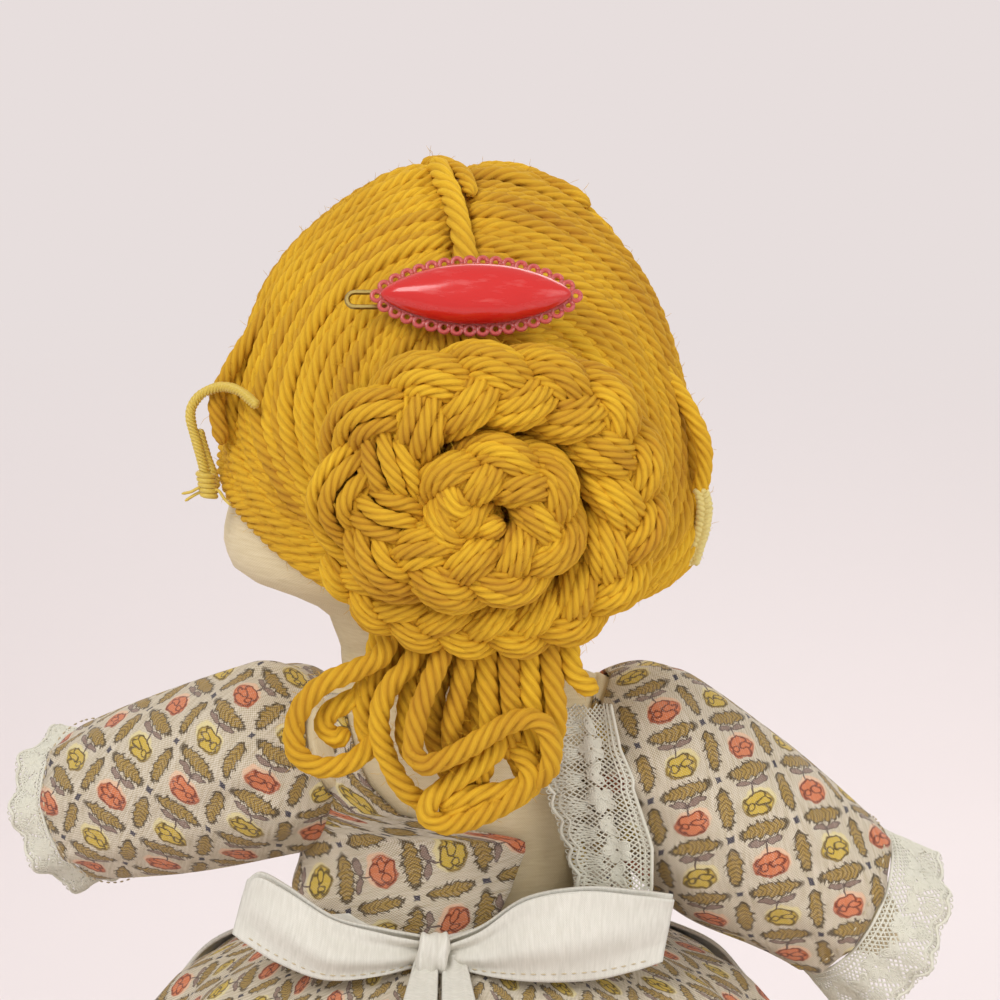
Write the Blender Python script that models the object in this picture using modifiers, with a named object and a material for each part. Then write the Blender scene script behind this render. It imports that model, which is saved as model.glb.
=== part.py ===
"""A stuffed muslin rag doll with braided yarn hair, a calico dress and an apron.

The doll hangs upright, held at the waist, with its back to -Y. +X is the doll's right
and +Z is up. The origin is in the waist, where a hand or a stand holds it.
"""
import math

import bmesh
import bpy
from mathutils import Euler, Matrix, Vector

MM = 0.001
CLEARANCE = 0.35 * MM
SEAM_GAP = 0.4 * MM
CLOTH = 1.2 * MM

# Stuffed body
TORSO_BOTTOM = -46 * MM
TORSO_TOP = 66 * MM
TORSO_HALF_WIDTH = 37 * MM
TORSO_HALF_DEPTH = 21 * MM
NECK_HEIGHT = 66 * MM
NECK_HALF_WIDTH = 26.5 * MM
NECK_HALF_DEPTH = 16.5 * MM
JAW_HEIGHT = 71 * MM
CROWN_HEIGHT = 174.5 * MM
HEAD_HALF_WIDTH = 51 * MM
HEAD_HALF_DEPTH = 42 * MM
SHOULDER_SPREAD = 41 * MM
SHOULDER_HEIGHT = 45 * MM
SHOULDER_RADIUS = 21.6 * MM
ARM_RADIUS = 12.5 * MM
ARM_STRAIGHT = 26 * MM
ARM_BEND_RADIUS = 150 * MM
ARM_LENGTH = 69 * MM
ARM_BEND_DEG = 20
HIP_SPREAD = 20 * MM
HIP_HEIGHT = -42 * MM
HIP_HALF_WIDTH = 19.2 * MM
HIP_RADIUS = 22 * MM
LEG_HALF_WIDTH = 15.5 * MM
LEG_HALF_DEPTH = 17 * MM
ANKLE_HEIGHT = -222 * MM
SOLE_HEIGHT = -246 * MM
SHOE_LENGTH = 58 * MM
SHOE_HALF_WIDTH = 14.5 * MM
SHOE_HEEL = 20 * MM
SHOE_HEEL_LEAN = 0.4

# Dress and underclothes
WAIST_HEIGHT = 8 * MM
NECKLINE_BACK = 62 * MM
NECKLINE_FRONT = 57 * MM
SLEEVE_LENGTH = 53 * MM
SLEEVE_END_RADIUS = 18.5 * MM
CUFF_LENGTH = 13 * MM
CUFF_RADIUS = 21 * MM
CUFF_RUFFLE = 1.2 * MM
CUFF_FOLDS = 9
HEM_HEIGHT = -152 * MM
HEM_HALF_WIDTH = 98 * MM
HEM_HALF_DEPTH = 86 * MM
SKIRT_FOLD = 4.5 * MM
PANTALOON_LENGTH = 138 * MM
PANTALOON_HALF_WIDTH = 19 * MM
PANTALOON_HALF_DEPTH = 25 * MM
LACE_DROP = 14 * MM
LACE = 0.9 * MM
COLLAR_TOP_WIDTH = 10 * MM
COLLAR_BOTTOM_WIDTH = 17 * MM
COLLAR_STAND = 1.4 * MM

# Apron
BAND_HEIGHT = 11 * MM
BAND_CLOTH = 1.4 * MM
APRON_BOTTOM = -118 * MM
APRON_STAND = 1.9 * MM
APRON_HALF_DEG = 64
BOW_RIBBON = 12 * MM
BOW_LEFT_REACH = 45 * MM
BOW_RIGHT_REACH = 50 * MM
BOW_THICKNESS = 5 * MM
BOW_RISE = 7 * MM
TAIL_LENGTH = 62 * MM
TAIL_WIDTH = 13 * MM
KNOT_WIDTH = 11 * MM
KNOT_HEIGHT = 9 * MM
KNOT_THICKNESS = 8 * MM
KNOT_OFFSET = -4 * MM

# Hair
HAIR_THICKNESS = 4.6 * MM
YARN_RADIUS = 2.6 * MM
PART_OFFSET = 0.5 * MM
# Heights on the head, as shares of its height over the jaw
NAPE_SHARE = 0.1256
EAR_SHARE = 0.2802
TEMPLE_SHARE = 0.4541
BROW_SHARE = 0.7633
BUN_SHARE = 0.3816
EARRING_LEFT_SHARE = 0.5411
EARRING_RIGHT_SHARE = 0.3188
BUN_OFFSET = 6.4 * MM
BUN_HALF_WIDTH = 34 * MM
BUN_HALF_HEIGHT = 31 * MM
BRAID_WIDTH = 25 * MM
BRAID_THICKNESS = 15 * MM
BRAID_REPEAT = 33 * MM
BRAID_CORD_SHARE = 0.74
BUN_CENTRE_LENGTH = 17 * MM
BUN_CENTRE_WIDTH = 12 * MM
TAIL_PIVOT_DROP = 0.5 * MM
TAIL_PIVOT_DEPTH = -44 * MM
TAIL_TOP_DROP = 3.1 * MM
TAIL_ROOT_DROP = 3.9 * MM
TAIL_DROP = 34.4 * MM
TAIL_SPREAD = 17 * MM

# Earrings of wrapped thread
EARRING_RADIUS = 1.5 * MM
EARRING_DROP = 19 * MM
EARRING_WIDTH = 10 * MM
EARRING_DEPTH = -14 * MM

# Barrette
BARRETTE_OFFSET = 4 * MM
BARRETTE_RISE = 7.3 * MM
BARRETTE_TILT_DEG = 22
DOME_LENGTH = 39.4 * MM
DOME_HEIGHT = 13 * MM
DOME_RISE = 4.6 * MM
DOME_POINT = 0.5
RIM_PLATE = 1.1 * MM
RIM_RING_RADIUS = 1.15 * MM
RIM_HOLE_RADIUS = 0.55 * MM
RIM_RINGS = 32
BAR_WIDTH = 4 * MM
BAR_THICKNESS = 0.7 * MM
WIRE_RADIUS = 0.55 * MM
WIRE_SPREAD = 3.2 * MM
WIRE_REACH = 6 * MM

# Shares of the named sizes: (height, half width, half depth)
TORSO_SHARES = (
    (0.00, 0.30, 0.25), (0.02, 0.72, 0.62), (0.08, 0.93, 0.90), (0.20, 1.00, 1.00),
    (0.36, 0.95, 0.97), (0.50, 0.88, 0.92), (0.66, 0.92, 0.95), (0.82, 1.00, 1.00),
    (0.91, 0.99, 0.93), (0.97, 0.88, 0.72), (1.00, 0.66, 0.42),
)
HEAD_SHARES = (
    (0.00, 0.53, 0.47), (0.03, 0.64, 0.60), (0.08, 0.80, 0.76), (0.14, 0.92, 0.88),
    (0.21, 0.99, 0.96), (0.27, 1.00, 0.99), (0.36, 0.97, 1.00), (0.46, 0.93, 1.00),
    (0.58, 0.87, 0.97), (0.69, 0.79, 0.90), (0.79, 0.68, 0.79), (0.88, 0.53, 0.62),
    (0.95, 0.35, 0.41), (0.985, 0.19, 0.22), (1.00, 0.05, 0.06),
)
SKIRT_SHARES = (
    (0.00, 0.00), (0.03, 0.18), (0.07, 0.38), (0.13, 0.53), (0.30, 0.70),
    (0.55, 0.85), (0.80, 0.95), (1.00, 1.00),
)
# Half widths of a leg down its length
LEG_SHARES = ((0.00, 1.0), (0.15, 1.0), (0.45, 0.94), (0.62, 0.86), (0.80, 0.82), (1.00, 0.66))
# Back edges of the dress, across the back as shares of the torso's half width, from
# the waist (0) to the neckline (1)
LEFT_EDGE_SHARES = (
    (0.00, -0.05), (0.08, 0.22), (0.25, 0.30), (0.40, 0.38), (0.44, 0.10), (0.60, -0.36),
    (0.80, -0.56), (1.00, -0.66),
)
RIGHT_EDGE_SHARES = ((0.00, 0.62), (0.25, 0.66), (0.60, 0.72), (1.00, 0.80))

# Heights that follow from the head's and the bun's
HEAD_HEIGHT = CROWN_HEIGHT - JAW_HEIGHT
NAPE_HEIGHT = JAW_HEIGHT + NAPE_SHARE * HEAD_HEIGHT
BUN_HEIGHT = JAW_HEIGHT + BUN_SHARE * HEAD_HEIGHT
BUN_LOW = BUN_HEIGHT - BUN_HALF_HEIGHT
BARRETTE_HEIGHT = BUN_HEIGHT + BUN_HALF_HEIGHT + BARRETTE_RISE
TAIL_PIVOT_HEIGHT = BUN_LOW - TAIL_PIVOT_DROP
TAIL_TOP = BUN_LOW - TAIL_TOP_DROP
TAIL_ROOT = NAPE_HEIGHT - TAIL_ROOT_DROP

LEFT_ARM_LOWERED_DEG = 17
LEFT_ARM_FORWARD_DEG = 28
RIGHT_ARM_LOWERED_DEG = 30
RIGHT_ARM_FORWARD_DEG = 6

MUSLIN = ("muslin", (0.69, 0.58, 0.42, 1.0), 0.9, 0.0)
CALICO = ("calico", (0.78, 0.70, 0.60, 1.0), 0.9, 0.0)
LACE_COTTON = ("lace", (0.78, 0.80, 0.72, 1.0), 0.9, 0.0)
WHITE_COTTON = ("white_cotton", (0.88, 0.85, 0.80, 1.0), 0.9, 0.0)
YARN = ("mustard_yarn", (0.66, 0.36, 0.02, 1.0), 0.95, 0.0)
THREAD = ("gold_thread", (0.72, 0.60, 0.20, 1.0), 0.7, 0.0)
RED_PLASTIC = ("red_plastic", (0.62, 0.04, 0.04, 1.0), 0.2, 0.0)
RIM_PLASTIC = ("clear_red_plastic", (0.72, 0.10, 0.10, 1.0), 0.25, 0.0)
BRASS = ("brass_wire", (0.45, 0.34, 0.12, 1.0), 0.35, 1.0)
FELT = ("black_felt", (0.05, 0.04, 0.04, 1.0), 0.9, 0.0)

for old in list(bpy.data.objects):
    bpy.data.objects.remove(old, do_unlink=True)
doll = bpy.data.collections.new("rag_doll")
cutters = bpy.data.collections.new("cutters")
bpy.context.scene.collection.children.link(doll)
bpy.context.scene.collection.children.link(cutters)


def material(kind):
    name, colour, roughness, metallic = kind
    found = bpy.data.materials.get(name)
    if found:
        return found
    made = bpy.data.materials.new(name)
    made.use_nodes = True
    shader = made.node_tree.nodes["Principled BSDF"]
    shader.inputs["Base Color"].default_value = colour
    shader.inputs["Roughness"].default_value = roughness
    shader.inputs["Metallic"].default_value = metallic
    return made


def pivot(name, place, parent=None, turn=(0, 0, 0), local=False):
    """An empty on a joint's axis, in the doll's frame unless local says its parent's."""
    empty = bpy.data.objects.new(name, None)
    doll.objects.link(empty)
    base = Vector() if local or not parent else world_place(parent)
    empty.location = Vector(place) - base
    empty.rotation_euler = turn
    empty.parent = parent
    return empty


def world_place(empty):
    place = Vector(empty.location)
    return place + world_place(empty.parent) if empty.parent else place


def add_piece(name, mesh, kind, parent=None, local=False, thickness=0.0, smooth=True):
    """A sub-part. Its points are in the doll's frame unless local says its parent's."""
    piece = bpy.data.objects.new(name, mesh)
    doll.objects.link(piece)
    mesh.materials.clear()
    mesh.materials.append(material(kind))
    if parent:
        piece.parent = parent
        if not local:
            mesh.transform(Matrix.Translation(-world_place(parent)))
    if smooth:
        mesh.shade_smooth()
    if thickness:
        wall = piece.modifiers.new("cloth", "SOLIDIFY")
        wall.thickness = thickness
        wall.offset = 0
    return piece


def grid_mesh(name, rows, wrap, tips=(False, False)):
    """A surface through rows of points, closed round if wrap, with its ends capped."""
    made = bmesh.new()
    grid = [[made.verts.new(point) for point in row] for row in rows]
    count = len(rows[0])
    for low, high in zip(grid, grid[1:]):
        for i in range(count if wrap else count - 1):
            j = (i + 1) % count
            made.faces.new((low[i], low[j], high[j], high[i]))
    for end, capped in ((0, tips[0]), (-1, tips[1])):
        if capped:
            loop = grid[end] if end else list(reversed(grid[end]))
            made.faces.new(loop)
    bmesh.ops.recalc_face_normals(made, faces=made.faces)
    mesh = bpy.data.meshes.new(name)
    made.to_mesh(mesh)
    made.free()
    return mesh


def smooth_rows(table, count):
    """Rows read from a smooth curve through the rows of a table."""
    rows = []
    last = len(table) - 1
    for step in range(count):
        along = last * step / (count - 1)
        k = min(int(along), last - 1)
        t = along - k
        before, here, there, after = (
            table[max(k - 1, 0)], table[k], table[k + 1], table[min(k + 2, last)]
        )
        rows.append(tuple(
            0.5 * (2 * b + (c - a) * t + (2 * a - 5 * b + 4 * c - d) * t ** 2
                   + (3 * b - a - 3 * c + d) * t ** 3)
            for a, b, c, d in zip(before, here, there, after)
        ))
    return rows


def read_table(table, at):
    """The values beside at, on a smooth curve through a table whose first column rises."""
    last = len(table) - 1
    at = min(max(at, table[0][0]), table[last][0])
    k = next(i for i in range(last) if at <= table[i + 1][0])
    before, low, high, after = table[max(k - 1, 0)], table[k], table[k + 1], table[min(k + 2, last)]
    span = high[0] - low[0]
    t = (at - low[0]) / span
    values = []
    for a, b, c, d in zip(before[1:], low[1:], high[1:], after[1:]):
        rise_low = span * (c - a) / (high[0] - before[0])
        rise_high = span * (d - b) / (after[0] - low[0])
        values.append(
            (2 * t ** 3 - 3 * t ** 2 + 1) * b + (t ** 3 - 2 * t ** 2 + t) * rise_low
            + (3 * t ** 2 - 2 * t ** 3) * c + (t ** 3 - t ** 2) * rise_high
        )
    return tuple(values)


def table_key(table, along):
    """The first column's value at a fractional row of a table."""
    low = min(int(along), len(table) - 2)
    return table[low][0] + (along - low) * (table[low + 1][0] - table[low][0])


def table_row(table, at):
    """The fractional row of a table where its first column reaches at."""
    low = next(i for i in range(len(table) - 1) if at <= table[i + 1][0])
    return low + (at - table[low][0]) / (table[low + 1][0] - table[low][0])


def stations(table, count):
    """Rows of a table at places spread as its own rows are."""
    keys = (table_key(table, (len(table) - 1) * k / (count - 1)) for k in range(count))
    return [(at, *read_table(table, at)) for at in keys]


def oval(half_width, half_depth, height, sides):
    """A level ring that starts at the back and runs towards +X."""
    turns = (2 * math.pi * i / sides for i in range(sides))
    return [
        Vector((half_width * math.sin(a), -half_depth * math.cos(a), height)) for a in turns
    ]


def cutter(name, centre, half_sizes):
    """A rounded cutter for a socket, whose flat facets lie at its half sizes."""
    flats = math.cos(math.pi / CUTTER_SIDES) ** 2
    bpy.ops.mesh.primitive_uv_sphere_add(
        segments=CUTTER_SIDES, ring_count=CUTTER_SIDES // 2, radius=1 / flats)
    tool = bpy.context.object
    tool.name = name
    tool.data.transform(Matrix.Diagonal((*half_sizes, 1)))
    tool.location = centre
    for owner in list(tool.users_collection):
        owner.objects.unlink(tool)
    cutters.objects.link(tool)
    tool.hide_render = True
    tool.display_type = "WIRE"
    return tool


def cut(piece, tool):
    change = piece.modifiers.new("cut_" + tool.name, "BOOLEAN")
    change.operation = "DIFFERENCE"
    change.object = tool


def tube(name, points, radius, kind, parent=None, closed=False, local=False):
    """A cord of yarn, thread or wire along points in the doll's frame."""
    curve = bpy.data.curves.new(name, "CURVE")
    curve.dimensions = "3D"
    curve.bevel_depth = radius
    curve.bevel_resolution = 1
    curve.use_fill_caps = True
    spline = curve.splines.new("POLY")
    spline.points.add(len(points) - 1)
    base = Vector() if local or not parent else world_place(parent)
    for k, point in enumerate(points):
        spline.points[k].co = (*(Vector(point) - base), 1)
    spline.use_cyclic_u = closed
    curve.materials.append(material(kind))
    piece = bpy.data.objects.new(name, curve)
    doll.objects.link(piece)
    piece.parent = parent
    return piece


def rounded_route(points, count):
    """Evenly counted points on a smooth curve through chosen ones."""
    return [Vector(row) for row in smooth_rows([tuple(p) for p in points], count)]


def torso_half_sizes(height):
    share = (height - TORSO_BOTTOM) / (TORSO_TOP - TORSO_BOTTOM)
    wide, deep = read_table(TORSO_SHARES, share)
    return wide * TORSO_HALF_WIDTH, deep * TORSO_HALF_DEPTH


def head_half_sizes(height):
    share = (height - JAW_HEIGHT) / HEAD_HEIGHT
    wide, deep = read_table(HEAD_SHARES, share)
    return wide * HEAD_HALF_WIDTH, deep * HEAD_HALF_DEPTH


def head_point(angle, height, stand):
    """A point beside the head's surface, stand out from it. Angle 0 is the back."""
    wide, deep = head_half_sizes(height)
    outward = head_slope(height)
    wide = wide + stand * math.cos(outward)
    deep = deep + stand * math.cos(outward)
    rise = stand * math.sin(outward)
    return Vector((wide * math.sin(angle), -deep * math.cos(angle), height + rise))


def head_slope(height):
    """How far the head's surface leans up from upright there, in radians."""
    step = HEAD_HEIGHT / 100
    low = head_half_sizes(height - step)
    high = head_half_sizes(height + step)
    fall = (low[0] - high[0] + low[1] - high[1]) / 2
    return math.atan2(fall, 2 * step)


def back_point(across, height, stand):
    """A point out from the back of the head, at a place across it."""
    wide = head_half_sizes(height)[0] + stand
    angle = math.asin(max(-1, min(1, across / wide)))
    return head_point(angle, height, stand)


def back_normal(across, height):
    """Outward from the hair at the back of the head."""
    step = HEAD_HEIGHT / 50
    side = back_point(across + step, height, 0) - back_point(across - step, height, 0)
    up = back_point(across, height + step, 0) - back_point(across, height - step, 0)
    return side.cross(up).normalized()


# Sockets, shared by the torso and the dress
CUTTER_SIDES = 20
shoulder_places = {
    side: Vector((sign * SHOULDER_SPREAD, 0, SHOULDER_HEIGHT))
    for side, sign in (("left", -1), ("right", 1))
}
hip_places = {
    side: Vector((sign * HIP_SPREAD, 0, HIP_HEIGHT))
    for side, sign in (("left", -1), ("right", 1))
}
shoulder_tools = {
    side: cutter(side + "_shoulder_socket", place, [SHOULDER_RADIUS + CLEARANCE] * 3)
    for side, place in shoulder_places.items()
}
hip_tools = {
    side: cutter(
        side + "_hip_socket", place,
        (HIP_HALF_WIDTH + CLEARANCE, HIP_RADIUS + CLEARANCE, HIP_RADIUS + CLEARANCE),
    )
    for side, place in hip_places.items()
}
neck_tool = cutter(
    "neck_socket", (0, 0, NECK_HEIGHT),
    (NECK_HALF_WIDTH + CLEARANCE, NECK_HALF_DEPTH + CLEARANCE, NECK_HALF_DEPTH + CLEARANCE),
)

# Torso
BODY_SIDES = 22
torso_rings = []
for share, wide, deep in stations(TORSO_SHARES, 13):
    level = TORSO_BOTTOM + share * (TORSO_TOP - TORSO_BOTTOM)
    torso_rings.append(oval(wide * TORSO_HALF_WIDTH, deep * TORSO_HALF_DEPTH, level, BODY_SIDES))
torso = add_piece("torso", grid_mesh("torso", torso_rings, True, (True, True)), MUSLIN)
for tool in (*shoulder_tools.values(), *hip_tools.values(), neck_tool):
    cut(torso, tool)

# Head, on a rounded neck end that rocks in the torso
neck_pivot = pivot("neck_pivot", (0, 0, NECK_HEIGHT))
head_rings = []
for k in range(1, 6):
    angle = math.pi / 2 * k / 6
    head_rings.append(oval(
        NECK_HALF_WIDTH * math.sin(angle), NECK_HALF_DEPTH * math.sin(angle),
        NECK_HEIGHT - NECK_HALF_DEPTH * math.cos(angle), BODY_SIDES,
    ))
for share, wide, deep in stations(HEAD_SHARES, 17):
    level = JAW_HEIGHT + share * HEAD_HEIGHT
    head_rings.append(oval(wide * HEAD_HALF_WIDTH, deep * HEAD_HALF_DEPTH, level, BODY_SIDES))
add_piece("head", grid_mesh("head", head_rings, True, (True, True)), MUSLIN, neck_pivot)


def arm_point(along):
    """A place on the arm's middle line, which bends forward, and its direction."""
    if along <= ARM_STRAIGHT:
        return Vector((along, 0, 0)), Vector((1, 0, 0))
    most = math.radians(ARM_BEND_DEG)
    turn = min((along - ARM_STRAIGHT) / ARM_BEND_RADIUS, most)
    way = Vector((math.cos(turn), math.sin(turn), 0))
    place = Vector((
        ARM_STRAIGHT + ARM_BEND_RADIUS * math.sin(turn),
        ARM_BEND_RADIUS * (1 - math.cos(turn)), 0,
    ))
    rest = along - ARM_STRAIGHT - ARM_BEND_RADIUS * turn
    return place + way * max(rest, 0), way


def arm_ring(along, radius, sign, sides, ruffle=0.0, folds=0):
    """A ring square to the arm, in the shoulder's own frame."""
    place, way = arm_point(along)
    side = Vector((-way.y, way.x, 0))
    ring = []
    for i in range(sides):
        a = 2 * math.pi * i / sides
        reach = radius + ruffle * math.cos(folds * a)
        point = place + side * (reach * math.sin(a)) + Vector((0, 0, reach * math.cos(a)))
        ring.append(Vector((sign * point.x, point.y, point.z)))
    return ring


ARM_SIDES = 12
SLEEVE_SIDES = 18
ROOT_HALF_DEG = 34
SLEEVE_ROOT_DEG = 38
sleeve_middle = SHOULDER_RADIUS - CLOTH / 2
cuff_start = SLEEVE_LENGTH + 2 * SEAM_GAP
arm_turns = {
    "left": (LEFT_ARM_LOWERED_DEG, LEFT_ARM_FORWARD_DEG),
    "right": (RIGHT_ARM_LOWERED_DEG, RIGHT_ARM_FORWARD_DEG),
}
# Past the shoulder: (share of the arm's length, share of the arm's radius)
ARM_TAPER_SHARES = ((0.0, 1.0), (0.30, 0.98), (0.52, 0.90), (0.64, 0.70), (0.78, 0.84),
                    (0.90, 0.78), (0.97, 0.50), (1.0, 0.16))
for side, sign in (("left", -1), ("right", 1)):
    lowered, forward = (math.radians(turn) for turn in arm_turns[side])
    shoulder = pivot(side + "_shoulder_pivot", shoulder_places[side],
                     turn=Euler((0, sign * lowered, sign * forward)))
    rings = []
    for k in range(1, 5):
        angle = math.radians(ROOT_HALF_DEG) * k / 4
        rings.append(arm_ring(-SHOULDER_RADIUS * math.cos(angle),
                              SHOULDER_RADIUS * math.sin(angle), sign, ARM_SIDES))
    for share, wide in stations(ARM_TAPER_SHARES, 12):
        rings.append(arm_ring(share * ARM_LENGTH, wide * ARM_RADIUS, sign, ARM_SIDES))
    arm_mesh = grid_mesh(side + "_arm", rings, True, (True, True))
    add_piece(side + "_arm", arm_mesh, MUSLIN, shoulder, local=True)

    rings = []
    for k in range(3):
        angle = math.radians(SLEEVE_ROOT_DEG + (90 - SLEEVE_ROOT_DEG) * k / 3)
        rings.append(arm_ring(-sleeve_middle * math.cos(angle),
                              sleeve_middle * math.sin(angle), sign, SLEEVE_SIDES))
    for k in range(6):
        share = k / 5
        radius = sleeve_middle + (SLEEVE_END_RADIUS - sleeve_middle) * share ** 2
        rings.append(arm_ring(share * SLEEVE_LENGTH, radius, sign, SLEEVE_SIDES))
    sleeve_mesh = grid_mesh(side + "_sleeve", rings, True)
    add_piece(side + "_sleeve", sleeve_mesh, CALICO, shoulder, local=True, thickness=CLOTH)

    rings = []
    for k in range(3):
        share = k / 2
        radius = SLEEVE_END_RADIUS + (CUFF_RADIUS - SLEEVE_END_RADIUS) * share
        rings.append(arm_ring(cuff_start + share * CUFF_LENGTH, radius, sign,
                              CUFF_FOLDS * 4, CUFF_RUFFLE * share, CUFF_FOLDS))
    cuff_mesh = grid_mesh(side + "_cuff_lace", rings, True)
    add_piece(side + "_cuff_lace", cuff_mesh, LACE_COTTON, shoulder, local=True, thickness=LACE)

# Legs, pantaloons and shoes, each hanging from its hip
LEG_SIDES = 14
leg_top = HIP_RADIUS - CLOTH - CLEARANCE
for side, sign in (("left", -1), ("right", 1)):
    hip = pivot(side + "_hip_pivot", hip_places[side])
    centre = hip_places[side].x

    def leg_ring(half_width, half_depth, level, sides=LEG_SIDES, forward=0.0):
        shift = Vector((centre, forward, 0))
        return [point + shift for point in oval(half_width, half_depth, level, sides)]

    rings = []
    for k in range(1, 6):
        angle = math.pi * k / 11
        rings.append(leg_ring(
            (HIP_HALF_WIDTH - CLOTH - CLEARANCE) * math.sin(angle), leg_top * math.sin(angle),
            HIP_HEIGHT + leg_top * math.cos(angle),
        ))
    for share, wide in stations(LEG_SHARES, 7):
        level = HIP_HEIGHT + share * (ANKLE_HEIGHT - HIP_HEIGHT)
        rings.append(leg_ring(wide * LEG_HALF_WIDTH, wide * LEG_HALF_DEPTH, level))
    leg_mesh = grid_mesh(side + "_leg", rings, True, (True, True))
    add_piece(side + "_leg", leg_mesh, MUSLIN, hip)

    rings = []
    wall = CLOTH / 2
    for k in range(2, 6):
        angle = math.pi * k / 11
        rings.append(leg_ring((HIP_HALF_WIDTH - wall) * math.sin(angle),
                              (HIP_RADIUS - wall) * math.sin(angle),
                              HIP_HEIGHT + (HIP_RADIUS - wall) * math.cos(angle)))
    for k in range(1, 5):
        share = k / 4
        rings.append(leg_ring(
            HIP_HALF_WIDTH - wall + (PANTALOON_HALF_WIDTH - HIP_HALF_WIDTH) * share,
            HIP_RADIUS - wall + (PANTALOON_HALF_DEPTH - HIP_RADIUS) * share,
            HIP_HEIGHT - share * PANTALOON_LENGTH,
        ))
    pantaloon_mesh = grid_mesh(side + "_pantaloon_leg", rings, True)
    add_piece(side + "_pantaloon_leg", pantaloon_mesh, WHITE_COTTON, hip, thickness=CLOTH)

    lace_top = HIP_HEIGHT - PANTALOON_LENGTH - SEAM_GAP
    rings = [
        leg_ring(PANTALOON_HALF_WIDTH - wall, PANTALOON_HALF_DEPTH - wall + drop,
                 lace_top - share * LACE_DROP)
        for share, drop in ((0, 0), (1, 2 * CLOTH))
    ]
    lace_mesh = grid_mesh(side + "_hem_lace", rings, True)
    add_piece(side + "_hem_lace", lace_mesh, LACE_COTTON, hip, thickness=LACE)

    # Share of the shoe's height, and of its length and width at that height
    shoe_shares = ((0.0, 0.92, 0.88), (0.12, 1.0, 1.0), (0.35, 0.97, 0.98), (0.60, 0.74, 0.88),
                   (0.80, 0.52, 0.80), (1.0, 0.46, 0.76))
    rings = []
    for share, long, wide in shoe_shares:
        half_length = long * SHOE_LENGTH / 2
        rings.append(leg_ring(
            wide * SHOE_HALF_WIDTH, half_length,
            SOLE_HEIGHT + share * (ANKLE_HEIGHT - SEAM_GAP - SOLE_HEIGHT),
            16, half_length - SHOE_HEEL * (1 - SHOE_HEEL_LEAN + SHOE_HEEL_LEAN * long),
        ))
    shoe_mesh = grid_mesh(side + "_shoe", rings, True, (True, True))
    add_piece(side + "_shoe", shoe_mesh, FELT, hip)


def wrapped_row(height, stand, start, end, columns):
    """Points round the front of the torso between two places across its back."""
    wide, deep = torso_half_sizes(height)
    wide, deep = wide + stand, deep + stand
    first = math.asin(max(-1, min(1, start / wide)))
    last = math.asin(max(-1, min(1, end / wide)))
    row = []
    for i in range(columns + 1):
        angle = last + (2 * math.pi + first - last) * i / columns
        row.append(Vector((wide * math.sin(angle), -deep * math.cos(angle), height)))
    return row


# Bodice, open down the back with its left edge folded over
BODICE_ROWS = 9
BODICE_COLUMNS = 30
bodice_stand = CLEARANCE + CLOTH
rows = []
for k in range(BODICE_ROWS + 1):
    share = k / BODICE_ROWS
    left, = read_table(LEFT_EDGE_SHARES, share)
    right, = read_table(RIGHT_EDGE_SHARES, share)
    row = wrapped_row(WAIST_HEIGHT + SEAM_GAP, bodice_stand, left * TORSO_HALF_WIDTH,
                      right * TORSO_HALF_WIDTH, BODICE_COLUMNS)
    reach = []
    for point in row:
        front = 0.5 + 0.5 * point.y / (TORSO_HALF_DEPTH + bodice_stand)
        top = NECKLINE_BACK + (NECKLINE_FRONT - NECKLINE_BACK) * front
        level = WAIST_HEIGHT + SEAM_GAP + share * (top - WAIST_HEIGHT)
        angle = math.atan2(point.x / (torso_half_sizes(WAIST_HEIGHT)[0] + bodice_stand),
                           -point.y / (torso_half_sizes(WAIST_HEIGHT)[1] + bodice_stand))
        wide, deep = torso_half_sizes(level)
        reach.append(Vector(((wide + bodice_stand) * math.sin(angle),
                             -(deep + bodice_stand) * math.cos(angle), level)))
    rows.append(reach)
bodice = add_piece("bodice", grid_mesh("bodice", rows, False), CALICO, thickness=CLOTH)
for tool in shoulder_tools.values():
    cut(bodice, tool)

# Lace down the right back edge, clear of the sleeve
collar_out = bodice_stand + CLOTH / 2 + CLEARANCE + LACE / 2
rows = []
for k in range(9):
    share = 0.12 + 0.86 * k / 8
    level = WAIST_HEIGHT + share * (NECKLINE_BACK - WAIST_HEIGHT)
    edge, = read_table(RIGHT_EDGE_SHARES, share)
    width = COLLAR_BOTTOM_WIDTH + (COLLAR_TOP_WIDTH - COLLAR_BOTTOM_WIDTH) * share
    start = edge * TORSO_HALF_WIDTH - COLLAR_STAND
    wide, deep = torso_half_sizes(level)
    row = []
    for i in range(6):
        across = start + width * i / 5
        depth = (deep + collar_out) * math.sqrt(
            max(0, 1 - (min(across, start) / (wide + collar_out)) ** 2))
        depth = max(depth, TORSO_HALF_DEPTH + collar_out) if i else depth
        row.append(Vector((across, -max(depth, SHOULDER_RADIUS + CLEARANCE + LACE), level)))
    rows.append(row)
add_piece("neck_lace", grid_mesh("neck_lace", rows, False), LACE_COTTON, thickness=LACE)


def skirt_half_sizes(height):
    drop = (WAIST_HEIGHT - height) / (WAIST_HEIGHT - HEM_HEIGHT)
    spread, = read_table(SKIRT_SHARES, drop)
    wide, deep = torso_half_sizes(WAIST_HEIGHT)
    wide, deep = wide + bodice_stand, deep + bodice_stand
    return (wide + (HEM_HALF_WIDTH - wide) * spread,
            deep + (HEM_HALF_DEPTH - deep) * spread, spread)


def skirt_point(angle, height):
    """A place on the gathered skirt. Angle 0 is the back."""
    wide, deep, spread = skirt_half_sizes(height)
    fold = SKIRT_FOLD * spread * math.cos(SKIRT_FOLDS * angle)
    return Vector(((wide + fold) * math.sin(angle), -(deep + fold) * math.cos(angle), height))


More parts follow.
